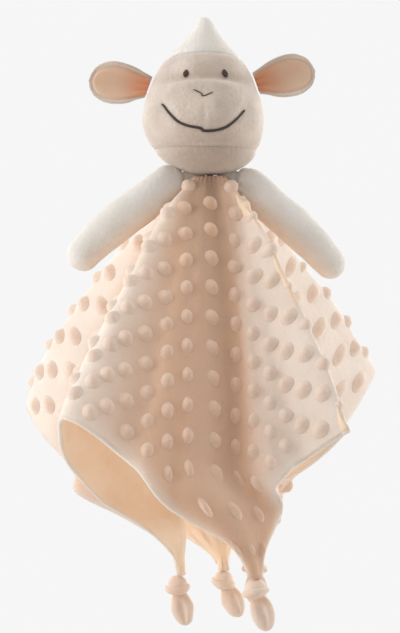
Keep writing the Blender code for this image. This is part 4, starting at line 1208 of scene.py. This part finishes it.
ring_room = ring_room * smooth((np.abs(np.cos(np.radians(flat_grid))) - 0.25) / 0.35)
OUTER[..., 2] += ring_room * (RING_RISE + GATHER_RELIEF * np.cos(np.radians(flat_grid) * GATHERS))
SHADE_PAINTED_ON_CLOTH = fold_depths(flat_grid, hung_grid, cloth_grid, HEM_ROOM)
from_front = np.abs((flat_grid + 180.0) % 360.0 - 180.0)
CAUGHT_LIGHT = 0.8 * bell(from_front - 64.0, 15.0) * bell(cloth_grid - 0.075, 0.045)     # under the arms
OUT_NORMALS = outward_normals(OUTER)
print("grid of the blanket:", OUTER.shape[:2])

# %% The two cloths


def ring_mesh(name, places, first_row=0):
    """Rings of points joined by faces, all points kept, with no face above the first row named."""
    mesh = bpy.data.meshes.new(name)
    rows, columns = places.shape[:2]
    index = np.arange(rows * columns).reshape(rows, columns)
    index = np.concatenate([index, index[:, :1]], axis=1)[first_row:]
    quads = np.stack([index[1:, :-1], index[1:, 1:], index[:-1, 1:], index[:-1, :-1]], -1).reshape(-1, 4)
    mesh.from_pydata(places.reshape(-1, 3).tolist(), [], quads.tolist())
    return mesh


def cloth_mesh(name, places):
    """The hung cloth as a mesh, with its flat place as UV and attributes."""
    mesh = ring_mesh(name, places)
    flat = with_zero(FLAT_PLACE).reshape(-1, 3)
    store_on_points(mesh, flat_place=flat, fold_depth=SHADE_PAINTED_ON_CLOTH, caught_light=CAUGHT_LIGHT)
    loops = np.empty(len(mesh.loops), int)
    mesh.loops.foreach_get("vertex_index", loops)
    uv = mesh.uv_layers.new(name="flat_cloth")
    uv.data.foreach_set("uv", (flat[loops, :2] / BLANKET_SIDE + 0.5).astype(np.float32).ravel())
    work = bmesh.new()
    work.from_mesh(mesh)
    bmesh.ops.remove_doubles(work, verts=work.verts, dist=1e-6)
    bmesh.ops.dissolve_degenerate(work, edges=work.edges, dist=1e-6)
    work.normal_update()
    if sum(f.normal.z * f.calc_area() for f in work.faces) < 0.0:
        bmesh.ops.reverse_faces(work, faces=work.faces)
    work.to_mesh(mesh)
    work.free()
    mesh.shade_smooth()
    return mesh


outer_cloth = add_piece("blanket_cloth", cloth_mesh("blanket_cloth", OUTER), minky, "blanket", "peach_minky",
                        "blanket_minky")
cloth_wall(outer_cloth, MINKY_WALL)
INNER = OUTER - OUT_NORMALS * (MINKY_WALL + CLEARANCE)
inner_cloth = add_piece("blanket_inside", cloth_mesh("blanket_inside", INNER), lining_cloth, "blanket",
                        "peach_lining", "blanket_lining")
cloth_wall(inner_cloth, LINING_WALL)
print("cloths made:", len(outer_cloth.data.polygons), "faces each")

# %% [markdown]
# ## Raised dots
# The plush is embossed with dots on a square lattice that runs corner to corner. Geometry Nodes lay them:
# the tree spreads the cloth flat again from the stored flat places, lays a lattice of small domes on it, and
# then moves every point of them to where that place of the cloth hangs, so that a dome bends with its fold.
# Where the cloth is drawn together the domes are smaller. The columns down the middle of each side stand
# wider apart, as if small pleats had taken up the cloth between them.

# %% A tree for the dots
DOT_PITCH, DOT_RADIUS, DOT_HEIGHT = 0.0186, 0.0060, 0.0038
DOT_SEGMENTS, DOT_RINGS = 12, 8
SPREAD = 0.45     # how much wider apart the columns stand down the middle of each side
HEM_CLEAR, NECK_CLEAR = 0.0052, 0.021
DOT_ROWS = 2 * int(BLANKET_SIDE / math.sqrt(2.0) / DOT_PITCH) + 1
DOT_SINK, DOT_EDGE_DROP = 0.0003, 0.0004
OFF_CLOTH = 0.0004     # a lattice point further than this from the flat cloth is left out
DOT_FOLD_SHADE_SHARE, DOT_OWN_PAINTED_SHADE = 0.45, 0.32     # painted shade on a dot: a share of its fold's painted shade, and some of its own


def dot_shape(tree, entry):
    """A closed dome with a flat base a little under the cloth."""
    ball = add_node(tree, "GeometryNodeMeshUVSphere", {
        "Segments": DOT_SEGMENTS, "Rings": DOT_RINGS, "Radius": 1.0})
    place = add_node(tree, "GeometryNodeInputPosition")
    parts = add_node(tree, "ShaderNodeSeparateXYZ", {0: place.outputs[0]})
    x, y, z = (parts.outputs[i] for i in range(3))
    wide = calculate(tree, "SQRT", calculate(tree, "ADD", calculate(tree, "MULTIPLY", x, x),
                                             calculate(tree, "MULTIPLY", y, y)))
    polar = calculate(tree, "DIVIDE", calculate(tree, "ARCCOSINE", z), math.pi / 2.0)
    share = calculate(tree, "MINIMUM", polar, 1.0)
    over = calculate(tree, "MAXIMUM", calculate(tree, "SUBTRACT", polar, 1.0), 0.0)
    ring = calculate(tree, "MULTIPLY", calculate(tree, "SUBTRACT", share, over), entry.outputs["Dot radius"])
    scale = calculate(tree, "DIVIDE", ring, calculate(tree, "MAXIMUM", wide, 0.001))
    fuller = calculate(tree, "POWER", share, 1.3)
    swing = calculate(tree, "COSINE", calculate(tree, "MULTIPLY", fuller, math.pi))
    dome = calculate(tree, "MULTIPLY", calculate(tree, "ADD", swing, 1.0), 0.5)
    edge = calculate(tree, "MULTIPLY", calculate(tree, "POWER", share, 3.0), entry.outputs["Edge drop"])
    high = calculate(tree, "SUBTRACT", calculate(tree, "MULTIPLY", dome, entry.outputs["Dot height"]),
                     calculate(tree, "ADD", edge, entry.outputs["Sink"]))
    moved = add_node(tree, "ShaderNodeCombineXYZ", {
        "X": calculate(tree, "MULTIPLY", x, scale), "Y": calculate(tree, "MULTIPLY", y, scale), "Z": high})
    shaped = add_node(tree, "GeometryNodeSetPosition", {
        "Geometry": ball.outputs["Mesh"], "Position": moved.outputs[0]})
    top = add_node(tree, "GeometryNodeSetShadeSmooth", {"Geometry": shaped.outputs[0]})
    bottom = add_node(tree, "GeometryNodeSetShadeSmooth")
    face = add_node(tree, "GeometryNodeInputNormal")
    normal = add_node(tree, "ShaderNodeSeparateXYZ", {0: face.outputs[0]})
    tree.links.new(calculate(tree, "LESS_THAN", normal.outputs["Z"], -0.5), bottom.inputs["Selection"])
    bottom.inputs["Shade Smooth"].default_value = False
    tree.links.new(top.outputs[0], bottom.inputs["Geometry"])
    return bottom.outputs[0]


def read_cloth(tree, cloth, name, kind, at):
    """What the flat cloth says at a place."""
    sample = add_node(tree, "GeometryNodeSampleNearestSurface", {"Mesh": cloth}, data_type=kind)
    tree.links.new(named_value(tree, name, kind), shown(sample.inputs, "Value"))
    tree.links.new(at, sample.inputs["Sample Position"])
    return shown(sample.outputs, "Value")


def store(tree, geometry, name, kind, value):
    node = add_node(tree, "GeometryNodeStoreNamedAttribute", {
        "Name": name, "Geometry": geometry}, data_type=kind, domain="POINT")
    tree.links.new(value, shown(node.inputs, "Value"))
    return node.outputs[0]


def spread_columns(tree, entry):
    """Moves the columns down the middle of each side outwards, where small pleats take up the cloth. The
    move fades to nothing on the diagonals, so that the dots of two sides keep clear of each other."""
    place = add_node(tree, "ShaderNodeSeparateXYZ", {
        0: add_node(tree, "GeometryNodeInputPosition").outputs[0]})
    x, y = place.outputs["X"], place.outputs["Y"]
    lateral_x = calculate(tree, "LESS_THAN", calculate(tree, "ABSOLUTE", x), calculate(tree, "ABSOLUTE", y))
    moved = add_node(tree, "ShaderNodeCombineXYZ")
    for value, across, label, chosen in (
            (x, y, "X", lateral_x), (y, x, "Y", calculate(tree, "SUBTRACT", 1.0, lateral_x))):
        room = calculate(tree, "MAXIMUM", calculate(tree, "ABSOLUTE", across), 0.001)
        size = calculate(tree, "ABSOLUTE", calculate(tree, "DIVIDE", value, room))
        share = calculate(tree, "MINIMUM", size, 1.0)
        inner = calculate(tree, "SUBTRACT", 1.0, calculate(tree, "MULTIPLY", share, share))
        fall = calculate(tree, "POWER", inner, 2.0)
        spread = calculate(tree, "MULTIPLY", fall, entry.outputs["Spread"])
        more = calculate(tree, "MULTIPLY", spread, chosen)
        wider = calculate(tree, "ADD", more, 1.0)
        tree.links.new(calculate(tree, "MULTIPLY", value, wider), moved.inputs[label])
    return moved.outputs[0]


def dot_tree():
    """Lays a lattice on the flat cloth, a dome on each point kept, and hangs them with the cloth."""
    tree, entry, leave = start_tree("embossed_dots", [
        ("Pitch", "NodeSocketFloat", DOT_PITCH), ("Rows", "NodeSocketInt", DOT_ROWS),
        ("Dot radius", "NodeSocketFloat", DOT_RADIUS), ("Dot height", "NodeSocketFloat", DOT_HEIGHT),
        ("Sink", "NodeSocketFloat", DOT_SINK), ("Edge drop", "NodeSocketFloat", DOT_EDGE_DROP),
        ("Spread", "NodeSocketFloat", SPREAD), ("Hem clear", "NodeSocketFloat", HEM_CLEAR),
        ("Neck clear", "NodeSocketFloat", NECK_CLEAR), ("Cloth finish", "NodeSocketMaterial", None)])
    cloth = entry.outputs["Geometry"]
    spread = add_node(tree, "GeometryNodeSetPosition", {
        "Geometry": cloth, "Position": named_value(tree, "flat_place", "FLOAT_VECTOR")})
    flat = spread.outputs[0]
    wide = calculate(tree, "MULTIPLY", entry.outputs["Pitch"],
                     calculate(tree, "SUBTRACT", entry.outputs["Rows"], 1.0))
    lattice = add_node(tree, "GeometryNodeMeshGrid", {
        "Size X": wide, "Size Y": wide, "Vertices X": entry.outputs["Rows"],
        "Vertices Y": entry.outputs["Rows"]})
    shifted = add_node(tree, "GeometryNodeSetPosition", {
        "Geometry": lattice.outputs["Mesh"], "Position": spread_columns(tree, entry)})
    points = add_node(tree, "GeometryNodeMeshToPoints", {"Mesh": shifted.outputs[0]})
    at = add_node(tree, "GeometryNodeInputPosition").outputs[0]
    off = add_node(tree, "GeometryNodeProximity", {0: flat, "Sample Position": at}, target_element="FACES")
    beyond = calculate(tree, "GREATER_THAN", off.outputs["Distance"], OFF_CLOTH)
    hem = calculate(tree, "LESS_THAN", read_cloth(tree, flat, "hem_room", "FLOAT", at),
                    entry.outputs["Hem clear"])
    middle = add_node(tree, "ShaderNodeVectorMath", {0: at}, operation="LENGTH")
    near = calculate(tree, "LESS_THAN", middle.outputs["Value"], entry.outputs["Neck clear"])
    parts = add_node(tree, "ShaderNodeSeparateXYZ", {0: at})
    left_out = calculate(tree, "MAXIMUM", calculate(tree, "MAXIMUM", beyond, hem), near)
    drop = add_node(tree, "GeometryNodeDeleteGeometry", {
        "Geometry": points.outputs[0], "Selection": left_out}, domain="POINT")
    kept = store(tree, drop.outputs[0], "dot_room", "FLOAT", read_cloth(tree, flat, "dot_room", "FLOAT", at))
    kept = store(tree, kept, "cloth_width", "FLOAT", read_cloth(tree, flat, "cloth_width", "FLOAT", at))
    # painted shade of each dot, from the painted shade of the cloth under it
    tone = calculate(tree, "MULTIPLY", read_cloth(tree, flat, "fold_depth", "FLOAT", at), DOT_FOLD_SHADE_SHARE)
    kept = store(tree, kept, "fold_depth", "FLOAT", calculate(tree, "ADD", tone, DOT_OWN_PAINTED_SHADE))
    around = add_node(tree, "ShaderNodeCombineXYZ", {
        "X": calculate(tree, "MULTIPLY", parts.outputs["Y"], -1.0), "Y": parts.outputs["X"]})
    turn = add_node(tree, "FunctionNodeAlignRotationToVector", {"Vector": around.outputs[0]},
                    axis="X", pivot_axis="Z")
    room = named_value(tree, "dot_room")
    along_ring = calculate(tree, "DIVIDE", room, named_value(tree, "cloth_width"))
    size = add_node(tree, "ShaderNodeCombineXYZ", {"X": along_ring, "Y": room, "Z": room})
    lay = add_node(tree, "GeometryNodeInstanceOnPoints", {
        "Points": kept, "Instance": dot_shape(tree, entry), "Rotation": turn.outputs[0],
        "Scale": size.outputs[0]})
    real = add_node(tree, "GeometryNodeRealizeInstances", {0: lay.outputs[0]})
    vertex = add_node(tree, "ShaderNodeSeparateXYZ", {
        0: add_node(tree, "GeometryNodeInputPosition").outputs[0]})
    foot = add_node(tree, "ShaderNodeCombineXYZ", {"X": vertex.outputs["X"], "Y": vertex.outputs["Y"]})
    lifted = add_node(tree, "ShaderNodeVectorMath", {
        0: read_cloth(tree, flat, "hung_normal", "FLOAT_VECTOR", foot.outputs[0]),
        "Scale": vertex.outputs["Z"]}, operation="SCALE")
    hung = add_node(tree, "ShaderNodeVectorMath", {
        0: read_cloth(tree, flat, "hung_place", "FLOAT_VECTOR", foot.outputs[0]),
        1: lifted.outputs[0]}, operation="ADD")
    laid = add_node(tree, "GeometryNodeSetPosition", {
        "Geometry": real.outputs[0], "Position": hung.outputs[0]})
    finish = add_node(tree, "GeometryNodeSetMaterial", {
        "Geometry": laid.outputs[0], "Material": entry.outputs["Cloth finish"]})
    tree.links.new(finish.outputs[0], leave.inputs["Geometry"])
    return tree


# %% Laying the dots


def drawn_room():
    """How wide the cloth stands at each point, as a share of its flat width: small where it is gathered."""
    around = np.linalg.norm(np.roll(OUTER, -1, axis=1) - np.roll(OUTER, 1, axis=1), axis=-1)
    flat_around = np.linalg.norm(np.roll(FLAT_PLACE, -1, axis=1) - np.roll(FLAT_PLACE, 1, axis=1), axis=-1)
    return np.clip(around / np.maximum(flat_around, 1e-6), 0.0, 1.0)


def dot_carrier():
    """The outer cloth once more, carrying where each flat point hangs."""
    mesh = ring_mesh("dot_carrier", OUTER, first_row=2)
    drawn = drawn_room()
    room = 0.55 + 0.45 * smooth((drawn - 0.20) / 0.40)
    which, offset = nearest_corner(flat_grid)
    above = CORNER_CLOTH[which] - cloth_grid * np.cos(np.radians(offset))
    width = np.clip(drawn, 0.45, 1.0)
    room = room * (1.0 - 0.15 * smooth((0.075 - above) / 0.060))
    print("width of cloth down the front:", [round(float(v), 2) for v in drawn[20::16, KNOT_STEPS // 2]])
    return store_on_points(mesh, flat_place=with_zero(FLAT_PLACE), hung_place=OUTER, hung_normal=OUT_NORMALS,
                           hem_room=HEM_ROOM, dot_room=room, cloth_width=width, fold_depth=SHADE_PAINTED_ON_CLOTH)


dots_mesh = run_tree(dot_tree(), "blanket_dots", dot_carrier(), {
    "Pitch": DOT_PITCH, "Rows": DOT_ROWS, "Dot radius": DOT_RADIUS, "Dot height": DOT_HEIGHT,
    "Sink": DOT_SINK, "Edge drop": DOT_EDGE_DROP, "Spread": SPREAD, "Hem clear": HEM_CLEAR,
    "Neck clear": NECK_CLEAR, "Cloth finish": minky})
dots = add_piece("blanket_dots", dots_mesh, minky, "blanket", "peach_minky")
print("dots:", len(dots_mesh.polygons) // (DOT_SEGMENTS * DOT_RINGS), "of", len(dots_mesh.polygons), "faces")

# %% [markdown]
# ## The rolled hem
# Outer cloth and lining are sewn together face to face, turned, and the edge rolls into a light cord of
# cloth. It follows the last row of the grid from knot to knot, as a soft tube a little wider than thick.

# %% Hem
HEM_WIDE, HEM_THICK = 0.0012, 0.0011


def hem_tube(name, path, normals, sides=10):
    """A closed tube along a path, flatter towards the cloth's own face."""
    ways = np.gradient(path, axis=0)
    ways /= np.linalg.norm(ways, axis=1, keepdims=True)
    aside = np.cross(ways, normals)
    aside /= np.linalg.norm(aside, axis=1, keepdims=True)
    upright = np.cross(aside, ways)
    angle = np.linspace(0.0, 2.0 * math.pi, sides, endpoint=False)
    uneven = 1.0 + lumps(path[:, None, :], 0.006, 0.16, 21.0)
    rings = (path[:, None, :] + aside[:, None, :] * (HEM_WIDE * np.cos(angle)[None, :] * uneven)[..., None]
             + upright[:, None, :] * (HEM_THICK * np.sin(angle)[None, :] * uneven)[..., None])
    caps = [np.repeat(path[i][None, None, :], sides, axis=1) for i in (0, -1)]
    rings = np.concatenate([caps[0], rings, caps[1]])
    return grid_mesh(name, rings, closed_round=True)


def joined(name, meshes):
    """Several meshes as one."""
    work = bmesh.new()
    for mesh in meshes:
        work.from_mesh(mesh)
    whole = bpy.data.meshes.new(name)
    work.to_mesh(whole)
    work.free()
    whole.shade_smooth()
    return whole


def recalculated(mesh):
    """The same closed mesh with its faces turned outwards."""
    work = bmesh.new()
    work.from_mesh(mesh)
    bmesh.ops.recalc_face_normals(work, faces=work.faces)
    work.to_mesh(mesh)
    work.free()
    return mesh


def make_hem():
    tubes = []
    side = KNOT_STEPS + HEM_STEPS
    edge = OUTER[-1] - OUT_NORMALS[-1] * (LAYERS / 2.0)
    for i in range(4):
        index = (np.arange(i * side + KNOT_STEPS, (i + 1) * side + 1)) % ROUND
        tubes.append(recalculated(hem_tube("hem", edge[index], OUT_NORMALS[-1][index])))
    return add_piece("blanket_hem", joined("blanket_hem", tubes), minky, "blanket", "peach_minky")


hem = make_hem()
print("hem faces:", len(hem.data.polygons))

# %% [markdown]
# ## Knots
# Each corner is tied on itself. What shows is a ball of wrapped cloth, one turn of cloth about it and the
# folded corner below, a soft lobe with a slit where its two sides meet. Three turned shapes pressed into
# each other give that more simply than a real knot would, and only one of them needs to be closed round.

# %% Knots
KNOT_TURN_RADIUS, KNOT_TURN_TUBE, KNOT_TURN_DROP = 0.0052, 0.0025, 0.0016
TAIL_LENGTH, TAIL_HALF_WIDTH, TAIL_HALF_DEPTH = 0.0215, 0.0070, 0.0038
TAIL_NECK_SHARE, TAIL_SWELL_SHARE = 0.62, 0.6
TAIL_LEANS_DEG = (16.0, 4.0, 24.0, 12.0)


def knot_ball(seed):
    """A ball of cloth with soft folds running round it."""
    polar = np.linspace(0.0, math.pi, 29)[:, None]
    angle = np.linspace(0.0, 2.0 * math.pi, 48, endpoint=False)[None, :]
    folds = 1.0 + 0.06 * np.cos(7.0 * angle + seed) * np.sin(polar) ** 2 * smooth(1.2 - polar)
    radius = KNOT_RADIUS * (folds - 0.03)
    places = np.stack([radius * np.sin(polar) * np.cos(angle), radius * np.sin(polar) * np.sin(angle),
                       radius * np.cos(polar) + 0.0 * angle], -1)
    return recalculated(grid_mesh("ball", places, closed_round=True))


def knot_turn(seed):
    """The turn of cloth: a band that lies aslant and has creases along it."""
    angle = np.linspace(0.0, 2.0 * math.pi, 64, endpoint=False)[:, None]
    section = np.linspace(0.0, 2.0 * math.pi, 18, endpoint=False)[None, :]
    tube = KNOT_TURN_TUBE * (1.0 + 0.10 * np.cos(3.0 * section + 2.0 * angle + seed)
                             + 0.08 * np.sin(2.0 * angle + seed))
    reach = KNOT_TURN_RADIUS + tube * np.cos(section)
    slant = 0.0012 * np.cos(angle + seed)
    places = np.stack([reach * np.cos(angle), reach * np.sin(angle),
                       tube * 0.95 * np.sin(section) - KNOT_TURN_DROP + slant], -1)
    places = np.concatenate([places, places[:1]])
    return recalculated(grid_mesh("turn", places, closed_round=True))


def knot_tail(lean_deg, seed):
    """The folded corner: a lobe with a slit down its front and its back."""
    lean = math.radians(lean_deg)
    down = np.array((math.sin(lean), 0.0, -math.cos(lean)))
    aside = np.array((math.cos(lean), 0.0, math.sin(lean)))
    depth_way = np.array((0.0, 1.0, 0.0))
    polar = np.linspace(0.0, math.pi, 41)[:, None]
    angle = np.linspace(0.0, 2.0 * math.pi, 56, endpoint=False)[None, :]
    along = (1.0 - np.cos(polar)) / 2.0
    swell = TAIL_NECK_SHARE + (1.0 - TAIL_NECK_SHARE) * smooth(along / TAIL_SWELL_SHARE)
    turned = (angle + 0.25 * np.sin(seed)) % (2.0 * math.pi)
    slit = bell(turned - math.pi * 1.5, 0.30) + bell(turned - math.pi * 0.5, 0.30)
    slit = slit * smooth((along - 0.28) / 0.2) * smooth((1.02 - along) / 0.2)
    round_x = np.sin(polar) * np.cos(angle)
    round_y = np.sin(polar) * np.sin(angle) * (1.0 - 0.62 * slit)
    places = (down * (along * (TAIL_LENGTH + KNOT_RADIUS / 2.0) + 0.0 * angle)[..., None]
              + aside * (round_x * TAIL_HALF_WIDTH * swell)[..., None]
              + depth_way * (round_y * TAIL_HALF_DEPTH * swell)[..., None])
    normals = surface_normals(places, closed_round=True)
    places = places + normals * lumps(places, 0.006, 0.0005, seed + 30.0)[..., None]
    return recalculated(grid_mesh("tail", places, closed_round=True))


def make_knot(i):
    name = CORNER_NAMES[i]
    parts = [knot_ball(i * 1.3), knot_turn(i * 1.7), knot_tail(TAIL_LEANS_DEG[i], i * 2.1)]
    mesh = joined(f"knot_{name}", parts)
    for vertex in mesh.vertices:
        vertex.co += Vector(KNOT_MIDDLES[i])
    # painted shade on the knot: a little all over, and more just below its middle, under the ball
    store_painted_shade(mesh, lambda at: 0.35 + 0.35 * bell(at[:, 2] - KNOT_MIDDLES[i][2] + 0.006, 0.004))
    return add_piece(f"knot_{name}", mesh, minky, f"{name}_knot", "peach_minky", f"{name}_knot")


knots = [make_knot(i) for i in range(4)]
print("knots:", [k.name for k in knots])

# %% [markdown]
# ## Neck
# Head, arms and blanket meet in a bead of wound thread. It is a curve wound round a ball, which reads as
# hand stitching where the head turns and a gap opens.

# %% Neck thread


def neck_winding():
    turns, sides, thread = 9, 6, 0.00045
    steps = turns * 20
    share = np.linspace(0.0, 1.0, steps + 1)
    polar = math.pi * (0.08 + 0.84 * share)
    angle = 2.0 * math.pi * turns * share
    ball = NECK_BEAD_RADIUS - thread
    path = NECK_MIDDLE + ball * np.stack(
        [np.sin(polar) * np.cos(angle), np.sin(polar) * np.sin(angle), np.cos(polar)], -1)
    ways = np.gradient(path, axis=0)
    ways /= np.linalg.norm(ways, axis=1, keepdims=True)
    out = path - NECK_MIDDLE
    aside = np.cross(ways, out)
    aside /= np.linalg.norm(aside, axis=1, keepdims=True)
    upright = np.cross(aside, ways)
    section = np.linspace(0.0, 2.0 * math.pi, sides, endpoint=False)
    rings = path[:, None, :] + thread * (aside[:, None, :] * np.cos(section)[None, :, None]
                                         + upright[:, None, :] * np.sin(section)[None, :, None])
    caps = [np.repeat(path[i][None, None, :], sides, axis=1) for i in (0, -1)]
    rings = np.concatenate([caps[0], rings, caps[1]])
    winding = recalculated(grid_mesh("winding", rings, closed_round=True))
    polar = np.linspace(0.0, math.pi, 13)[:, None]
    angle = np.linspace(0.0, 2.0 * math.pi, 20, endpoint=False)[None, :]
    core = NECK_MIDDLE + (ball - thread * 0.4) * np.stack(
        [np.sin(polar) * np.cos(angle), np.sin(polar) * np.sin(angle), np.cos(polar) + 0.0 * angle], -1)
    core = recalculated(grid_mesh("core", core, closed_round=True))
    return add_piece("neck_stitching", joined("neck_stitching", [winding, core]), pale_thread, "neck",
                     "pale_thread", "neck_thread")


neck_winding()
print("neck stitching made")

# %% [markdown]
# ## Arms
# Each arm is a stuffed sleeve of plush, gathered where it is sewn in at the neck and bent by its own
# weight. Rings along a curve give its swelling; pleats show at the shoulder, a seam runs along its
# underside and the end is closed round like a mitten. A thin root reaches in to the neck, and the plush
# beside it is pushed up under the chin. The sleeve's wall is made part of its mesh.

# %% Arms
ARM_RADIUS, SHOULDER_RADIUS, ARM_WALL = 0.0118, 0.0060, 0.0015
ARM_RADIUS_SHARES = ((0.0, 0.522), (0.15, 0.74), (0.3, 0.92), (0.5, 1.0), (0.7, 0.99), (0.85, 0.93),
                     (1.0, 0.85))
ARM_FULL_SHARE, SHOULDER_OPENING_DEG = 0.5, 30.0
SHOULDER_DROP, ARM_BEND_REACH, ARM_BEND_DROP = 0.0055, 0.0260, 0.0090
ROOT_REACH, ROOT_DROP, ROOT_RADIUS, ROOT_RINGS = 0.0045, -0.0009, 0.0012, 7     # where a sleeve is sewn in
ROOT_SWELL, ROOT_SWELL_AT, ROOT_SWELL_SHARE = 0.0086, 0.07, 0.19     # plush pushed up under the chin
ARM_FILL_EASE, FILL_SWELL_LAG = 0.0008, 0.3     # the filling keeps clear of the sleeve, and swells less
ARMS = {
    "left": {"azimuth": -80.0, "shoulder": 0.0210, "reach": 0.0555, "drop": 0.0400, "fullness": 1.0,
             "sag": 0.0},
    "right": {"azimuth": 86.0, "shoulder": 0.0200, "reach": 0.0520, "drop": 0.0450, "fullness": 0.95,
              "sag": 0.006},
}


def arm_rings(arm, inset, first_polar):
    """Middle, direction and radius of each ring, from the shoulder to the end of the hand."""
    out = np.array(heading(arm["azimuth"]))
    down = np.array((0.0, 0.0, -1.0))
    shoulder = BLANKET_TOP + out * arm["shoulder"] + down * SHOULDER_DROP
    bend = shoulder + out * ARM_BEND_REACH + down * (ARM_BEND_DROP + arm["sag"])
    wrist = shoulder + out * arm["reach"] + down * arm["drop"]
    first = (bend - shoulder) / np.linalg.norm(bend - shoulder)
    last = (wrist - bend) / np.linalg.norm(wrist - bend)
    small = SHOULDER_RADIUS - inset
    rings = []
    if first_polar > 0.0:
        root = BLANKET_TOP + out * ROOT_REACH + down * ROOT_DROP
        angle = math.radians(first_polar)
        mouth = shoulder - first * small * math.cos(angle)
        for share in np.linspace(0.0, 1.0, ROOT_RINGS + 1)[:-1]:
            way = (mouth - root) / np.linalg.norm(mouth - root)
            radius = ROOT_RADIUS + (small * math.sin(angle) - ROOT_RADIUS) * share
            rings.append((root + (mouth - root) * share, way, radius, 0.0))
    for polar in np.linspace(first_polar, 90.0, 8)[:-1]:
        angle = math.radians(polar)
        rings.append((shoulder - first * small * math.cos(angle), first, small * math.sin(angle), 0.0))
    for share in np.linspace(0.0, 1.0, 44):
        middle = shoulder * (1 - share) ** 2 + bend * 2 * share * (1 - share) + wrist * share ** 2
        along = (bend - shoulder) * (1 - share) + (wrist - bend) * share
        full = ARM_RADIUS * float(smooth_shares(ARM_RADIUS_SHARES, np.array(share)))
        fullness = 1.0 + (arm["fullness"] - 1.0) * float(smooth(share / ARM_FULL_SHARE))
        rings.append((middle, along / np.linalg.norm(along), full * fullness - inset, share))
    hand = rings[-1][2]
    for polar in np.linspace(90.0, 0.0, 14)[1:]:
        angle = math.radians(polar)
        rings.append((wrist + last * hand * math.cos(angle), last, hand * math.sin(angle), 1.0))
    return rings


def arm_places(arm, inset, first_polar, columns, relief):
    aside = np.cross(np.array((0.0, 0.0, 1.0)), np.array(heading(arm["azimuth"])))
    angle = np.linspace(0.0, 2.0 * math.pi, columns, endpoint=False)[:, None]
    rows = []
    for middle, along, radius, share in arm_rings(arm, inset, first_polar):
        upward = np.cross(along, aside)
        way = aside * np.cos(angle) + upward * np.sin(angle)
        row = middle + way * (radius + relief(share, angle, radius))
        fullest = min(radius / SHOULDER_RADIUS, 1.0) ** 0.5
        swell = ROOT_SWELL * bell(share - ROOT_SWELL_AT, ROOT_SWELL_SHARE) * fullest
        if swell > inset * FILL_SWELL_LAG:
            row[:, 2] += (swell - inset * FILL_SWELL_LAG) * np.maximum(way[:, 2], 0.0)
        rows.append(row)
    return np.array(rows)


def sleeve_relief(share, angle, radius):
    """Gathers at the shoulder and a shallow seam along the underside."""
    gathers = 0.00045 * np.cos(9.0 * angle) * float(smooth(1.0 - share / 0.22)) * radius / ARM_RADIUS
    seam = -0.0006 * bell((angle + 0.6) % (2.0 * math.pi) - math.pi * 1.5, 0.16) * radius / ARM_RADIUS
    return gathers + seam


def made_solid(piece):
    """The piece with its wall made part of its mesh."""
    whole = bpy.data.meshes.new_from_object(piece.evaluated_get(bpy.context.evaluated_depsgraph_get()))
    piece.modifiers.clear()
    piece.data = whole
    return piece


def make_arm(word):
    arm = ARMS[word]
    places = arm_places(arm, 0.0, SHOULDER_OPENING_DEG, 56, sleeve_relief)
    normals = surface_normals(places, closed_round=True)
    centre = places.mean(axis=(0, 1))
    if ((places - centre) * normals).sum() < 0.0:
        normals = -normals
    soft = slice(ROOT_RINGS + 8, -2)
    places[soft] += normals[soft] * (lumps(places, 0.014, 0.0006, 40.0 + arm["azimuth"])[soft, :, None])
    mesh = faces_outward(grid_mesh(f"arm_plush_{word}", places, closed_round=True), centre)
    sleeve = bpy.data.objects.new(f"arm_plush_{word}", mesh)
    bpy.context.scene.collection.objects.link(sleeve)
    mesh.materials.append(plush)
    made_solid(cloth_wall(sleeve, ARM_WALL))
    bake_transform(sleeve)
    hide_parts(f"arm_{word}_sleeve")
    inner = arm_places(arm, ARM_WALL + FILL_CLEARANCE + ARM_FILL_EASE, 0.0, 32, lambda *_: 0.0)
    fill_mesh = grid_mesh(f"arm_filling_{word}", inner, closed_round=True)
    faces_outward(fill_mesh, inner.mean(axis=(0, 1)))
    filling = add_piece(f"arm_filling_{word}", fill_mesh, fibre, f"arm_{word}", "polyester_fill",
                        f"arm_{word}_stuffing")


make_arm("left")
make_arm("right")
print("arms made")
